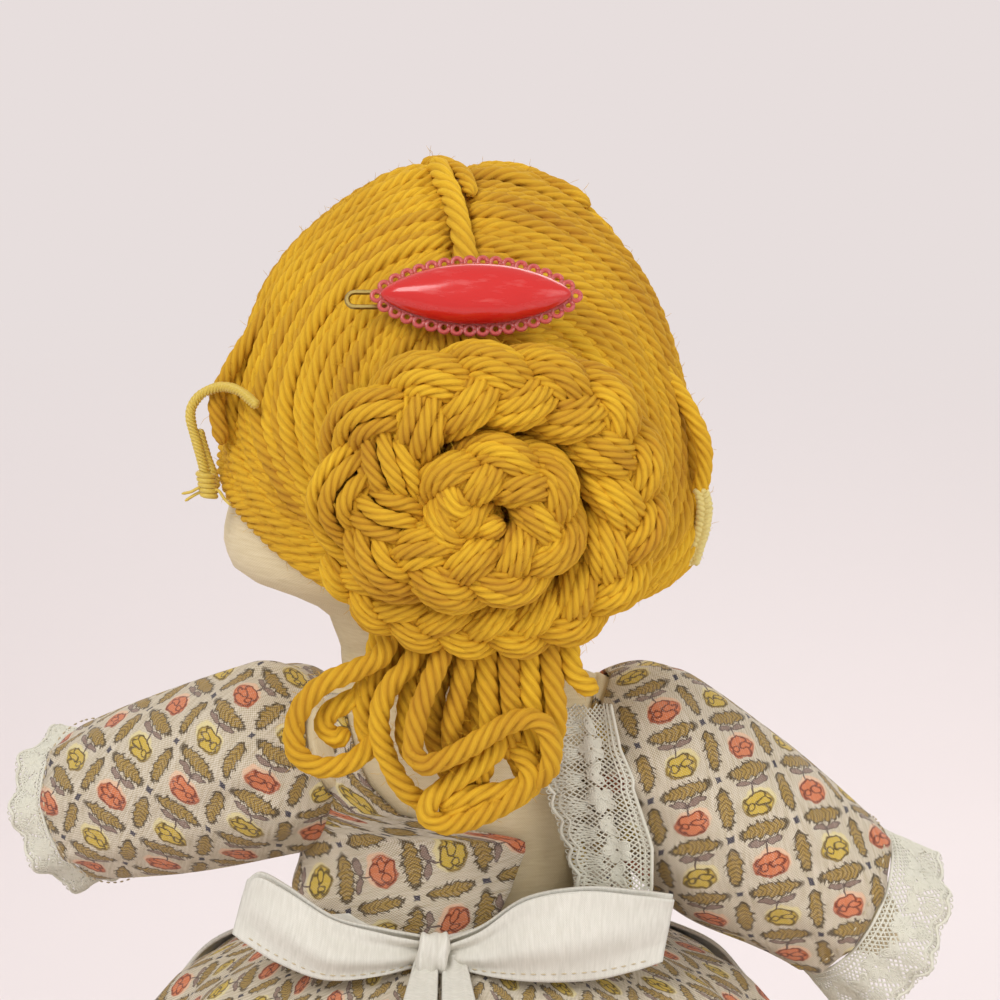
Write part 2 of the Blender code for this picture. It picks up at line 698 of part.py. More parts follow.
def over_skirt(angle, height, stand):
    """A place that stands out square from the skirt."""
    turn = math.pi / SKIRT_COLUMNS
    step = (WAIST_HEIGHT - HEM_HEIGHT) / 200
    across = skirt_point(angle + turn, height) - skirt_point(angle - turn, height)
    down = skirt_point(angle, height - step) - skirt_point(angle, height + step)
    return skirt_point(angle, height) + down.cross(across).normalized() * stand


# Skirt, gathered to the waist seam
SKIRT_FOLDS = 12
SKIRT_COLUMNS = SKIRT_FOLDS * 5
rows = []
for share, spread in stations(SKIRT_SHARES, 8):
    level = WAIST_HEIGHT - CLOTH / 2 - share * (WAIST_HEIGHT - HEM_HEIGHT)
    rows.append([
        skirt_point(2 * math.pi * i / SKIRT_COLUMNS, level) for i in range(SKIRT_COLUMNS)
    ])
add_piece("skirt", grid_mesh("skirt", rows, True), CALICO, thickness=CLOTH)

# Apron band round the waist, its skirt in front and its bow behind
band_stand = bodice_stand + CLOTH / 2 + SEAM_GAP + BAND_CLOTH / 2
band_low = WAIST_HEIGHT + 2 * CLOTH
rows = []
for k in range(3):
    level = band_low + BAND_HEIGHT * k / 2
    wide, deep = torso_half_sizes(level)
    rows.append(oval(wide + band_stand, deep + band_stand, level, 26))
add_piece("apron_band", grid_mesh("apron_band", rows, True), WHITE_COTTON, thickness=BAND_CLOTH)

apron_stand = CLOTH + APRON_STAND
apron_half_angle = math.radians(APRON_HALF_DEG)
APRON_COLUMNS = 26
turns = [math.pi + apron_half_angle * (2 * i / APRON_COLUMNS - 1)
         for i in range(APRON_COLUMNS + 1)]
waist_wide, waist_deep = (half + bodice_stand + apron_stand
                          for half in torso_half_sizes(WAIST_HEIGHT))
rows = [[
    Vector((waist_wide * math.sin(turn), -waist_deep * math.cos(turn),
            band_low - SEAM_GAP - CLOTH / 2))
    for turn in turns
]]
for k in range(1, 7):
    level = WAIST_HEIGHT - (k / 6) ** 1.4 * (WAIST_HEIGHT - APRON_BOTTOM)
    rows.append([over_skirt(turn, level, apron_stand) for turn in turns])
add_piece("apron_skirt", grid_mesh("apron_skirt", rows, False), WHITE_COTTON,
          thickness=CLOTH)

# Bow: a knot, two flat loops and two tails
band_back = torso_half_sizes(band_low + BAND_HEIGHT / 2)[1] + band_stand + BAND_CLOTH / 2
knot_depth = -(band_back + CLEARANCE + KNOT_THICKNESS / 2)
knot_level = band_low + BAND_HEIGHT / 2 - BAND_CLOTH
bpy.ops.mesh.primitive_cube_add(size=1)
knot = bpy.context.object
knot_mesh = knot.data
knot_mesh.transform(Matrix.Diagonal((KNOT_WIDTH, KNOT_THICKNESS, KNOT_HEIGHT, 1)))
knot_mesh.transform(Matrix.Translation((KNOT_OFFSET, knot_depth, knot_level)))
bpy.data.objects.remove(knot, do_unlink=True)
knot = add_piece("bow_knot", knot_mesh, WHITE_COTTON)
knot_round = knot.modifiers.new("round", "BEVEL")
knot_round.width = KNOT_THICKNESS / 4
knot_round.segments = 2
for side, sign, reach in (("left", -1, BOW_LEFT_REACH), ("right", 1, BOW_RIGHT_REACH)):
    root = KNOT_OFFSET + sign * (KNOT_WIDTH / 2 + SEAM_GAP + CLOTH / 2)
    rows = []
    for k in range(24):
        turn = 2 * math.pi * k / 24
        along = 0.5 - 0.5 * math.cos(turn)
        bulge = BOW_THICKNESS / 2 * math.sin(turn)
        centre_level = knot_level + BOW_RISE * along
        half = (KNOT_HEIGHT + (BOW_RIBBON - KNOT_HEIGHT) * along) / 2
        lean = sign * BOW_THICKNESS * along
        rows.append([
            Vector((root + sign * reach * along + lean * (0.5 - v), knot_depth - bulge,
                    centre_level + half * (2 * v - 1)))
            for v in (0, 0.5, 1)
        ])
    columns = [list(column) for column in zip(*rows)]
    loop_mesh = grid_mesh("bow_%s_loop" % side, columns, True)
    add_piece("bow_%s_loop" % side, loop_mesh, WHITE_COTTON, thickness=CLOTH)

    tail_top = knot_level - KNOT_HEIGHT / 2 - SEAM_GAP - CLOTH / 2
    rows = []
    for k in range(9):
        share = k / 8
        level = tail_top - share * TAIL_LENGTH
        depth = skirt_half_sizes(level)[1] + SKIRT_FOLD + 2 * CLOTH
        centre = KNOT_OFFSET + sign * (KNOT_WIDTH / 4 + TAIL_WIDTH * share)
        half = KNOT_WIDTH / 5 + (TAIL_WIDTH / 2 - KNOT_WIDTH / 5) * min(1, 3 * share)
        depth = max(depth, -knot_depth) if k else -knot_depth
        rows.append([
            Vector((centre + half * v, -depth, level)) for v in (-1, 0, 1)
        ])
    tail_mesh = grid_mesh("bow_%s_tail" % side, rows, False)
    add_piece("bow_%s_tail" % side, tail_mesh, WHITE_COTTON, thickness=CLOTH)

# Hair: two halves of a laid yarn cap, parted down the middle
HAIR_COLUMNS = 17
HAIR_ROWS = 9
hair_stand = CLEARANCE + SEAM_GAP + HAIR_THICKNESS / 2
# Angle from the back as a share of half a turn, and the hair edge's height share there
hair_edge = (
    (0.0, NAPE_SHARE), (0.30, NAPE_SHARE), (0.50, EAR_SHARE), (0.68, TEMPLE_SHARE),
    (0.85, BROW_SHARE), (1.0, BROW_SHARE),
)
for side, sign in (("left", -1), ("right", 1)):
    rows = []
    for k in range(HAIR_ROWS + 1):
        row = []
        for i in range(HAIR_COLUMNS + 1):
            share = i / HAIR_COLUMNS
            low, = read_table(hair_edge, share)
            first = table_row(HEAD_SHARES, low)
            row_place = first + (len(HEAD_SHARES) - 1 - first) * k / HAIR_ROWS
            level = JAW_HEIGHT + table_key(HEAD_SHARES, row_place) * HEAD_HEIGHT
            point = head_point(math.pi * share, level, hair_stand)
            row.append(Vector((sign * (point.x + PART_OFFSET), point.y, point.z)))
        rows.append(row)
    hair_mesh = grid_mesh("hair_" + side, rows, False)
    add_piece("hair_" + side, hair_mesh, YARN, neck_pivot, thickness=HAIR_THICKNESS)

# The thick strand along the back of the parting
strand_stand = HAIR_THICKNESS + CLEARANCE + YARN_RADIUS + 2 * SEAM_GAP
part_levels = (CROWN_HEIGHT - 2 * YARN_RADIUS, CROWN_HEIGHT - 5 * YARN_RADIUS,
               BARRETTE_HEIGHT + DOME_HEIGHT / 2 + 2 * YARN_RADIUS)
part_points = [
    back_point(across, level, strand_stand)
    for across, level in zip((-YARN_RADIUS, 0, YARN_RADIUS / 2), part_levels)
]
tube("part_strand", rounded_route(part_points, 8), YARN_RADIUS, YARN, neck_pivot)


def braid_reach(along, direction, half_width, half_depth, repeat):
    """How far a three-strand braid reaches from its middle line in one direction.

    Each strand weaves from side to side once a repeat, over and under, and is a fat
    round cord; the braid's surface is the outermost of the three.
    """
    cord = half_depth * BRAID_CORD_SHARE
    sway = half_width - cord
    lift = half_depth - cord
    aim = Vector((math.cos(direction), math.sin(direction)))
    furthest = 0.0
    for strand in range(3):
        for step in range(-6, 7):
            place = along + repeat * step / 36
            phase = 2 * math.pi * (place / repeat + strand / 3)
            spot = Vector((sway * math.sin(phase), lift * math.sin(2 * phase)))
            ahead = spot.dot(aim)
            aside = (spot - aim * ahead).length_squared + (place - along) ** 2
            if aside < cord * cord:
                furthest = max(furthest, ahead + math.sqrt(cord * cord - aside))
    return furthest


def braid_mesh(name, route, half_width, half_depth, repeat, sides=12):
    """A braid along a route of (place, outward) pairs, its ends drawn in."""
    rings = []
    length = 0.0
    last = len(route) - 1
    for k, (place, outward) in enumerate(route):
        before = route[max(k - 1, 0)][0]
        after = route[min(k + 1, last)][0]
        way = (after - before).normalized()
        side = way.cross(outward).normalized()
        up = side.cross(way).normalized()
        if k:
            length += (place - before).length
        taper = math.sin(math.pi / 2 * min(1, (min(k, last - k) + 1) / 3))
        ring = []
        for i in range(sides):
            a = 2 * math.pi * i / sides
            reach = braid_reach(length, a, half_width, half_depth, repeat) * taper
            ring.append(place + side * (reach * math.cos(a)) + up * (reach * math.sin(a)))
        rings.append(ring)
    return grid_mesh(name, rings, True, (True, True))


# Bun: the braid wound once round the back of the head, its end tucked in the middle
BUN_STEPS = 60
bun_stand = HAIR_THICKNESS + 2 * (CLEARANCE + SEAM_GAP) + BRAID_THICKNESS / 2
ring_half_width = BUN_HALF_WIDTH - BRAID_WIDTH / 2
ring_half_height = BUN_HALF_HEIGHT - BRAID_WIDTH / 2
gap_turn = SEAM_GAP / ring_half_height
route = []
for k in range(BUN_STEPS + 1):
    turn = -math.pi / 2 + gap_turn + (2 * math.pi - 2 * gap_turn) * k / BUN_STEPS
    across = BUN_OFFSET + ring_half_width * math.cos(turn)
    level = BUN_HEIGHT + ring_half_height * math.sin(turn)
    outward = back_normal(across, level)
    route.append((back_point(across, level, bun_stand), outward))
bun_mesh = braid_mesh("bun_braid", route, BRAID_WIDTH / 2, BRAID_THICKNESS / 2, BRAID_REPEAT)
add_piece("bun_braid", bun_mesh, YARN, neck_pivot)

route = []
for k in range(13):
    across = BUN_OFFSET + BUN_CENTRE_LENGTH * (k / 12 - 0.5)
    outward = back_normal(BUN_OFFSET, BUN_HEIGHT)
    route.append((back_point(across, BUN_HEIGHT, bun_stand), outward))
centre_mesh = braid_mesh("bun_centre", route, BUN_CENTRE_WIDTH / 2, BRAID_THICKNESS / 2,
                         BRAID_REPEAT)
add_piece("bun_centre", centre_mesh, YARN, neck_pivot)

# Ponytail: loops of yarn from under the bun, which swing at the nape
tail_pivot = pivot("ponytail_pivot", (0, TAIL_PIVOT_DEPTH, TAIL_PIVOT_HEIGHT), neck_pivot)
yarn_pitch = 2 * YARN_RADIUS + CLEARANCE
layer_pitch = 2 * YARN_RADIUS * math.cos(math.pi / 6) + CLEARANCE
front_depth = TAIL_PIVOT_DEPTH + layer_pitch
tail_middle = BUN_OFFSET - YARN_RADIUS


def hanging_loop(number, place, fall, layer):
    """A loop of yarn that hangs at the nape: straight down, round and straight up."""
    half = yarn_pitch / 2
    depth = front_depth - layer * layer_pitch
    middle = tail_middle + place * 2 * yarn_pitch
    top = TAIL_TOP if layer else TAIL_ROOT
    low = TAIL_TOP - fall * TAIL_DROP + half
    points = [Vector((middle - half, depth, top - (top - low) * k / 4)) for k in range(4)]
    for k in range(7):
        turn = math.pi * k / 6
        points.append(Vector((middle - half * math.cos(turn), depth, low - half * math.sin(turn))))
    points += [Vector((middle + half, depth, p.z)) for p in reversed(points[:4])]
    tube("ponytail_loop_%d" % number, points, YARN_RADIUS, YARN, tail_pivot)


# Each hanging loop's place in its layer, its share of the ponytail's drop and its layer
LOOP_SHARES = ((-1, 0.78, 0), (0, 0.84, 0), (1, 0.66, 0), (-0.5, 0.92, 1), (0.5, 0.98, 1))
for number, (place, fall, layer) in enumerate(LOOP_SHARES, 1):
    hanging_loop(number, place, fall, layer)

# The long loop that falls to the left, and the one that crosses the rest
SIDE_LOOP_SHARES = ((-0.82, 0.0), (-1.06, 0.14), (-1.75, 0.42), (-2.15, 0.62), (-2.05, 0.88),
                    (-1.55, 0.98), (-1.20, 0.84), (-1.15, 0.50))
side_points = [
    (tail_middle + across * TAIL_SPREAD, front_depth - layer_pitch,
     TAIL_TOP - fall * TAIL_DROP)
    for across, fall in SIDE_LOOP_SHARES
]
tube("ponytail_side_loop", rounded_route(side_points, 22), YARN_RADIUS, YARN, tail_pivot)
CROSS_LOOP_SHARES = ((-0.75, 0.74), (-0.35, 0.80), (0.35, 0.56), (0.85, 0.50), (1.12, 0.72),
                     (0.80, 0.95), (0.10, 1.02), (-0.55, 1.06))
cross_points = [
    (tail_middle + across * TAIL_SPREAD, front_depth - 2 * layer_pitch,
     TAIL_TOP - fall * TAIL_DROP)
    for across, fall in CROSS_LOOP_SHARES
]
tube("ponytail_cross_loop", rounded_route(cross_points, 22), YARN_RADIUS, YARN, tail_pivot)

# Loose strands at the sides of the head, over the ears
loose_stand = HAIR_THICKNESS + CLEARANCE + YARN_RADIUS + SEAM_GAP
# Angle from the back as a share of half a turn, and the share of the head's height
LEFT_STRAND_SHARES = ((0.40, 0.82), (0.41, 0.76), (0.42, 0.70), (0.43, 0.64), (0.43, 0.58))
RIGHT_STRAND_SHARES = ((0.38, 0.57), (0.42, 0.52), (0.44, 0.47), (0.44, 0.43), (0.42, 0.39))
for side, sign, shares in (("left", -1, LEFT_STRAND_SHARES), ("right", 1, RIGHT_STRAND_SHARES)):
    points = []
    for k, (turn, rise) in enumerate(shares):
        level = JAW_HEIGHT + rise * HEAD_HEIGHT
        bow = YARN_RADIUS * math.sin(math.pi * k / (len(shares) - 1))
        points.append(head_point(sign * math.pi * turn, level, loose_stand + bow))
    tube("side_strand_" + side, rounded_route(points, 11), YARN_RADIUS, YARN, neck_pivot)

# Earrings: wrapped thread hoops that hang at the ears
for side, sign, rise in (("left", -1, EARRING_LEFT_SHARE), ("right", 1, EARRING_RIGHT_SHARE)):
    top = JAW_HEIGHT + rise * HEAD_HEIGHT
    wide, deep = head_half_sizes(top)
    ear_angle = math.acos(-EARRING_DEPTH / deep)
    lie = HAIR_THICKNESS + CLEARANCE + 3 * SEAM_GAP + EARRING_RADIUS
    hook = head_point(sign * ear_angle, top, lie)
    ear_pivot = pivot(side + "_earring_pivot", hook, neck_pivot)
    points = []
    for k in range(16):
        turn = 2 * math.pi * k / 16
        aside = EARRING_WIDTH / 2 * math.sin(turn) / HEAD_HALF_WIDTH
        drop = EARRING_DROP / 2 * (1 - math.cos(turn))
        points.append(head_point(sign * (ear_angle + aside), top - drop, lie))
    tube(side + "_earring", points, EARRING_RADIUS, THREAD, ear_pivot, closed=True)

# Barrette: a domed almond in a rim of little rings, on a sprung bar with a wire clasp
barrette_foot = back_point(BARRETTE_OFFSET, BARRETTE_HEIGHT, CLEARANCE)
tilt = math.radians(BARRETTE_TILT_DEG)
wire_level = HAIR_THICKNESS + CLEARANCE / 2 + WIRE_RADIUS
bar_level = wire_level + WIRE_RADIUS + CLEARANCE + BAR_THICKNESS / 2
rim_level = bar_level + BAR_THICKNESS / 2 + CLEARANCE + RIM_PLATE / 2
dome_level = rim_level + RIM_PLATE / 2 + CLEARANCE
barrette_pivot = pivot("barrette_pivot", barrette_foot, neck_pivot,
                       (math.pi / 2 - tilt, 0, 0))


def almond(angle, grow=0.0):
    """A place on the dome's outline, in the barrette's own plane."""
    x = math.cos(angle)
    half = max(1 - x * x, 0) ** DOME_POINT
    return Vector((
        (DOME_LENGTH / 2 + grow) * x,
        math.copysign((DOME_HEIGHT / 2 + grow) * half, math.sin(angle)),
    ))


def flat_shape(name, outlines, thickness, level, kind):
    """A plate cut from outlines in the barrette's plane, the first one its edge."""
    curve = bpy.data.curves.new(name, "CURVE")
    curve.dimensions = "2D"
    curve.fill_mode = "BOTH"
    curve.extrude = thickness / 2
    for outline in outlines:
        spline = curve.splines.new("POLY")
        spline.points.add(len(outline) - 1)
        spline.use_cyclic_u = True
        for point, place in zip(spline.points, outline):
            point.co = (place.x, place.y, 0, 1)
    curve.materials.append(material(kind))
    piece = bpy.data.objects.new(name, curve)
    doll.objects.link(piece)
    piece.parent = barrette_pivot
    piece.location = (0, 0, level)
    return piece


def spaced_outline(count, grow):
    """Evenly spaced places round the almond."""
    fine = [almond(2 * math.pi * k / 720, grow) for k in range(720)]
    total = sum((b - a).length for a, b in zip(fine, fine[1:] + fine[:1]))
    places = []
    walked = 0.0
    for a, b in zip(fine, fine[1:] + fine[:1]):
        while len(places) < count and walked >= total * len(places) / count:
            places.append(a)
        walked += (b - a).length
    return places


DOME_SIDES = 28
rings = []
for k in range(6):
    rise = k / 6
    shrink = math.cos(math.pi / 2 * rise) ** 0.8
    height = dome_level + DOME_RISE * math.sin(math.pi / 2 * rise)
    rings.append([
        Vector((*(almond(2 * math.pi * i / DOME_SIDES) * shrink), height))
        for i in range(DOME_SIDES)
    ])
add_piece("barrette_dome", grid_mesh("barrette_dome", rings, True, (True, True)),
          RED_PLASTIC, barrette_pivot, local=True)

ring_places = spaced_outline(RIM_RINGS, RIM_RING_RADIUS - RIM_HOLE_RADIUS / 2)
edge = []
for k, place in enumerate(ring_places):
    following = ring_places[(k + 1) % RIM_RINGS]
    before = ring_places[k - 1]
    way = (following - before).normalized()
    out = Vector((way.y, -way.x))
    if out.dot(place) < 0:
        out = -out
    for turn in (-0.8, 0, 0.8):
        edge.append(place + RIM_RING_RADIUS * (out * math.cos(turn) + way * math.sin(turn)))
holes = [
    [place + RIM_HOLE_RADIUS * Vector((math.cos(math.pi * k / 3), math.sin(math.pi * k / 3)))
     for k in range(6)]
    for place in ring_places
]
flat_shape("barrette_rim", [edge] + holes, RIM_PLATE, rim_level, RIM_PLASTIC)

bar_half = DOME_LENGTH / 2 - RIM_RING_RADIUS
bar_outline = [Vector((x * bar_half, y * BAR_WIDTH / 2)) for x, y in
               ((-1, -1), (1, -1), (1, 1), (-1, 1))]
flat_shape("barrette_bar", [bar_outline], BAR_THICKNESS, bar_level, BRASS)

clasp_end = bar_half - WIRE_RADIUS
clasp_pivot = pivot("clasp_pivot", (clasp_end, 0, wire_level), barrette_pivot, local=True)
clasp_length = clasp_end + DOME_LENGTH / 2 + RIM_RING_RADIUS + WIRE_REACH
half_spread = WIRE_SPREAD / 2
wire_points = [Vector((0, half_spread, 0))]
for k in range(9):
    turn = math.pi / 2 * (k / 4 - 1)
    wire_points.append(Vector((
        -clasp_length + half_spread * (1 - math.cos(turn)), -half_spread * math.sin(turn), 0)))
wire_points.append(Vector((0, -half_spread, 0)))
tube("barrette_clasp", wire_points, WIRE_RADIUS, BRASS, clasp_pivot, local=True)
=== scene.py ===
"""A stuffed rag doll with braided yarn hair, a calico dress and a tied apron.

It is seen from behind, as the camera of the photograph saw it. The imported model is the
frame: every piece here rides on one of its bodies. Lengths are in millimetres until the
last step, which turns them to metres.
"""
import math
from functools import partial

import bmesh
import bpy
import numpy as np
from mathutils import Euler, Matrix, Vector


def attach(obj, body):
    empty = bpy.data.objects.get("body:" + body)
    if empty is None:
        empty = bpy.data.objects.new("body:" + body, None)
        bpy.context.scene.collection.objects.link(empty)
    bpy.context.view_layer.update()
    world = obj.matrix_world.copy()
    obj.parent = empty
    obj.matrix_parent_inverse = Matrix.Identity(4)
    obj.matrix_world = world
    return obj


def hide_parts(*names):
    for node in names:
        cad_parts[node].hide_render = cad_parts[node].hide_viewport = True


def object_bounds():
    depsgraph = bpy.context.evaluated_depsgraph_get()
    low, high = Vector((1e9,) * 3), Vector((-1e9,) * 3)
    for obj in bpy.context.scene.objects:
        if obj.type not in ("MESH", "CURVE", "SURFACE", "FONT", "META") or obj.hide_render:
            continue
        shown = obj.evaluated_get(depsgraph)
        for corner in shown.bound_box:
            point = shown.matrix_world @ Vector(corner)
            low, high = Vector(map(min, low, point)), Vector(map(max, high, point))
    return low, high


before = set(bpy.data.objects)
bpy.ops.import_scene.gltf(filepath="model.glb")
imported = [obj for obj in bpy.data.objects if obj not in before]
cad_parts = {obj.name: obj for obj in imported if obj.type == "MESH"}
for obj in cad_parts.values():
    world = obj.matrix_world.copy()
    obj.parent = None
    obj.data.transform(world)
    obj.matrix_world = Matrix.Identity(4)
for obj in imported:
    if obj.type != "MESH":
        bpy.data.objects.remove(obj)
cad_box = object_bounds()
MM = 0.001
chance = np.random.default_rng(11)
TURN = 2 * math.pi


# Camera, lamps and floor

PHOTO_DISTANCE = 0.700
PHOTO_LIFT = math.radians(8)
VIEW_CENTRE = Vector((0.0089, 0.0, 0.1033))
VIEW_ANGLE = 2 * math.atan(500 / 3150)
BACKDROP = "#E7DEDD"
# How high over the floor the backdrop's plain colour is full
WALL_RISE = 0.25
SKY_POWER = 0.70


def linear(hex_colour):
    """A linear colour from an sRGB hex value."""
    parts = [int(hex_colour[k:k + 2], 16) / 255 for k in (1, 3, 5)]
    return [p / 12.92 if p <= 0.04045 else ((p + 0.055) / 1.055) ** 2.4 for p in parts] + [1.0]


def add(tree, kind, inputs=None, **settings):
    """One node, with its settings, its values and the sockets that feed it."""
    made = tree.nodes.new("ShaderNode" + kind)
    for key, value in settings.items():
        setattr(made, key, value)
    for key, value in (inputs or {}).items():
        if isinstance(value, bpy.types.NodeSocket):
            tree.links.new(value, made.inputs[key])
        else:
            made.inputs[key].default_value = value
    return made


def new_material(name, base, roughness, **sockets):
    """A material of one Principled shader, ready for its nodes."""
    made = bpy.data.materials.new(name)
    made.use_nodes = True
    shader = made.node_tree.nodes["Principled BSDF"]
    sockets.update(Base_Color=linear(base), Roughness=roughness)
    for key, value in sockets.items():
        shader.inputs[key.replace("_", " ")].default_value = value
    return made, made.node_tree, shader


# Short forms of add for the nodes used most; each returns the socket that is used next


def feed(tree, shader, **sockets):
    for key, value in sockets.items():
        tree.links.new(value, shader.inputs[key.replace("_", " ")])


def mixed(tree, share, first, second):
    """One colour over another; each is a hex value or a socket."""
    first, second = (linear(c) if isinstance(c, str) else c for c in (first, second))
    return add(tree, "Mix", {0: share, 6: first, 7: second}, data_type="RGBA").outputs[2]


def maths(tree, operation, *values):
    return add(tree, "Math", dict(enumerate(values)), operation=operation).outputs[0]


def vectors(tree, operation, *values):
    made = add(tree, "VectorMath", dict(enumerate(values)), operation=operation)
    return made.outputs["Value" if operation in ("LENGTH", "DISTANCE", "DOT_PRODUCT") else 0]


def ranged(tree, value, low, high, first=0.0, last=1.0):
    return add(tree, "MapRange", {"Value": value, "From Min": low, "From Max": high,
                                  "To Min": first, "To Max": last}).outputs[0]


def noise(tree, place, scale, detail, roughness=0.5, output="Fac"):
    return add(tree, "TexNoise", {"Vector": place, "Scale": scale, "Detail": detail,
                                  "Roughness": roughness}).outputs[output]


def stretched(tree, place, scale, turn=(0, 0, 0)):
    return add(tree, "Mapping", {"Vector": place, "Scale": scale, "Rotation": turn}).outputs[0]


def bumped(tree, height, strength, distance, **under):
    return add(tree, "Bump", {"Height": height, "Strength": strength, "Distance": distance,
                              **under}).outputs[0]


def object_place(tree):
    return add(tree, "TexCoord").outputs["Object"]


def flat_place(tree):
    return add(tree, "UVMap", uv_map="flat").outputs[0]


def in_scene(name, data):
    made = bpy.data.objects.new(name, data)
    bpy.context.scene.collection.objects.link(made)
    return made


def set_camera():
    data = bpy.data.cameras.new("camera")
    data.angle = VIEW_ANGLE
    data.clip_start = 0.01
    camera = in_scene("camera", data)
    camera.location = VIEW_CENTRE + PHOTO_DISTANCE * Vector(
        (0, -math.cos(PHOTO_LIFT), math.sin(PHOTO_LIFT)))
    camera.rotation_euler = (math.pi / 2 - PHOTO_LIFT, 0, 0)
    bpy.context.scene.camera = camera


def set_lamp(name, place, size, power):
    data = bpy.data.lights.new(name, "AREA")
    data.size = size
    data.energy = power
    lamp = in_scene(name, data)
    lamp.location = place
    lamp.rotation_euler = (VIEW_CENTRE - Vector(place)).to_track_quat("-Z", "Y").to_euler()


def plain_behind(tree, lit):
    """The backdrop's plain colour, where it rises over the floor that keeps the shadow."""
    path = add(tree, "LightPath").outputs
    seen = maths(tree, "MAXIMUM", path["Is Camera Ray"], path["Is Glossy Ray"])
    seen = maths(tree, "MAXIMUM", seen, path["Is Transmission Ray"])
    place = add(tree, "NewGeometry").outputs["Position"]
    height = add(tree, "SeparateXYZ", {0: place}).outputs["Z"]
    wall = ranged(tree, height, cad_box[0][2], cad_box[0][2] + WALL_RISE)
    pale = add(tree, "Emission", {"Color": linear(BACKDROP)}).outputs[0]
    return add(tree, "MixShader", {0: maths(tree, "MULTIPLY", seen, wall), 1: lit,
                                   2: pale}).outputs[0]


def set_world():
    world = bpy.data.worlds.new("studio")
    bpy.context.scene.world = world
    world.use_nodes = True
    tree = world.node_tree
    tree.nodes.clear()
    path = add(tree, "LightPath").outputs
    seen = maths(tree, "MAXIMUM", path["Is Camera Ray"], path["Is Transmission Ray"])
    sky = add(tree, "Background", {"Color": linear("#F4F2F2"), "Strength": SKY_POWER})
    pale = add(tree, "Background", {"Color": linear(BACKDROP)})
    shown = add(tree, "MixShader", {0: seen, 1: sky.outputs[0], 2: pale.outputs[0]})
    add(tree, "OutputWorld", {"Surface": shown.outputs[0]})


def set_floor():
    """A pale floor that curves up into a backdrop."""
    made, tree, shader = new_material("backdrop_paper", BACKDROP, 0.9)
    feed(tree, tree.nodes["Material Output"], Surface=plain_behind(tree, shader.outputs[0]))
    floor = bmesh.new()
    level = cad_box[0][2] - 0.0005
    rows = [(-3, 0), (1.2, 0)]
    rows += [(1.2 + math.sin(t) * 0.6, 0.6 * (1 - math.cos(t)))
             for t in np.linspace(0, math.pi / 2, 12)[1:]]
    rows.append((1.8, 3))
    made_rows = [[floor.verts.new((x, y, level + z)) for x in (-3, 3)] for y, z in rows]
    for low, high in zip(made_rows, made_rows[1:]):
        floor.faces.new((low[0], low[1], high[1], high[0]))
    mesh = bpy.data.meshes.new("floor")
    floor.to_mesh(mesh)
    mesh.shade_smooth()
    mesh.materials.append(made)
    piece = in_scene("floor", mesh)


set_camera()
set_world()
set_floor()
set_lamp("key", (-0.75, -1.15, 1.25), 0.9, 17)
set_lamp("fill", (1.1, -0.9, 0.5), 1.2, 7)
set_lamp("back", (0.3, 1.3, 0.9), 1.0, 8)
bpy.context.scene.view_settings.view_transform = "Standard"


# The head's form, as the frame has it

JAW, CROWN, HEAD_WIDE, HEAD_DEEP = 71.0, 174.5, 51.0, 42.0
HEAD_CORE = np.array((0.0, 0.0, 118.0))
# Share of the head's height, and of its half width and half depth there
HEAD_SHARES = (
    (0.00, 0.53, 0.47), (0.03, 0.64, 0.60), (0.08, 0.80, 0.76), (0.14, 0.92, 0.88),
    (0.21, 0.99, 0.96), (0.27, 1.00, 0.99), (0.36, 0.97, 1.00), (0.46, 0.93, 1.00),
    (0.58, 0.87, 0.97), (0.69, 0.79, 0.90), (0.79, 0.68, 0.79), (0.88, 0.53, 0.62),
    (0.95, 0.35, 0.41), (0.985, 0.19, 0.22), (1.00, 0.0, 0.0),
)


def smooth_table(table, at):
    """Columns of a table read on a smooth curve, at places in its first column."""
    table = np.asarray(table, float)
    x, y = table[:, 0], table[:, 1:]
    slope = np.gradient(y, x, axis=0)
    at = np.clip(np.asarray(at, float), x[0], x[-1])
    k = np.clip(np.searchsorted(x, at, side="right") - 1, 0, len(x) - 2)
    span = x[k + 1] - x[k]
    t = ((at - x[k]) / span)[..., None]
    span = span[..., None]
    return ((2 * t ** 3 - 3 * t ** 2 + 1) * y[k] + (t ** 3 - 2 * t ** 2 + t) * span * slope[k]
            + (3 * t ** 2 - 2 * t ** 3) * y[k + 1] + (t ** 3 - t ** 2) * span * slope[k + 1])


def head_halves(height):
    """Half width and half depth of the head at a height."""
    share = (np.asarray(height, float) - JAW) / (CROWN - JAW)
    halves = np.maximum(smooth_table(HEAD_SHARES, share), 0.004)
    return halves[..., 0] * HEAD_WIDE, halves[..., 1] * HEAD_DEEP


def unit(rows):
    return rows / np.linalg.norm(rows, axis=-1, keepdims=True)


def on_head(points, stand):
    """Points moved along lines from the head's core to stand out from its surface."""
    way = unit(np.atleast_2d(np.asarray(points, float)) - HEAD_CORE)
    low, high = np.zeros(len(way)), np.full(len(way), 90.0)
    for _ in range(30):
        middle = (low + high) / 2
        place = HEAD_CORE + way * middle[:, None]
        wide, deep = head_halves(place[:, 2])
        inside = (place[:, 0] / wide) ** 2 + (place[:, 1] / deep) ** 2 < 1
        inside &= (place[:, 2] < CROWN) & (place[:, 2] > JAW)
        low, high = np.where(inside, middle, low), np.where(inside, high, middle)
    place = HEAD_CORE + way * low[:, None]
    return place + head_normals(place) * np.reshape(stand, (-1, 1))


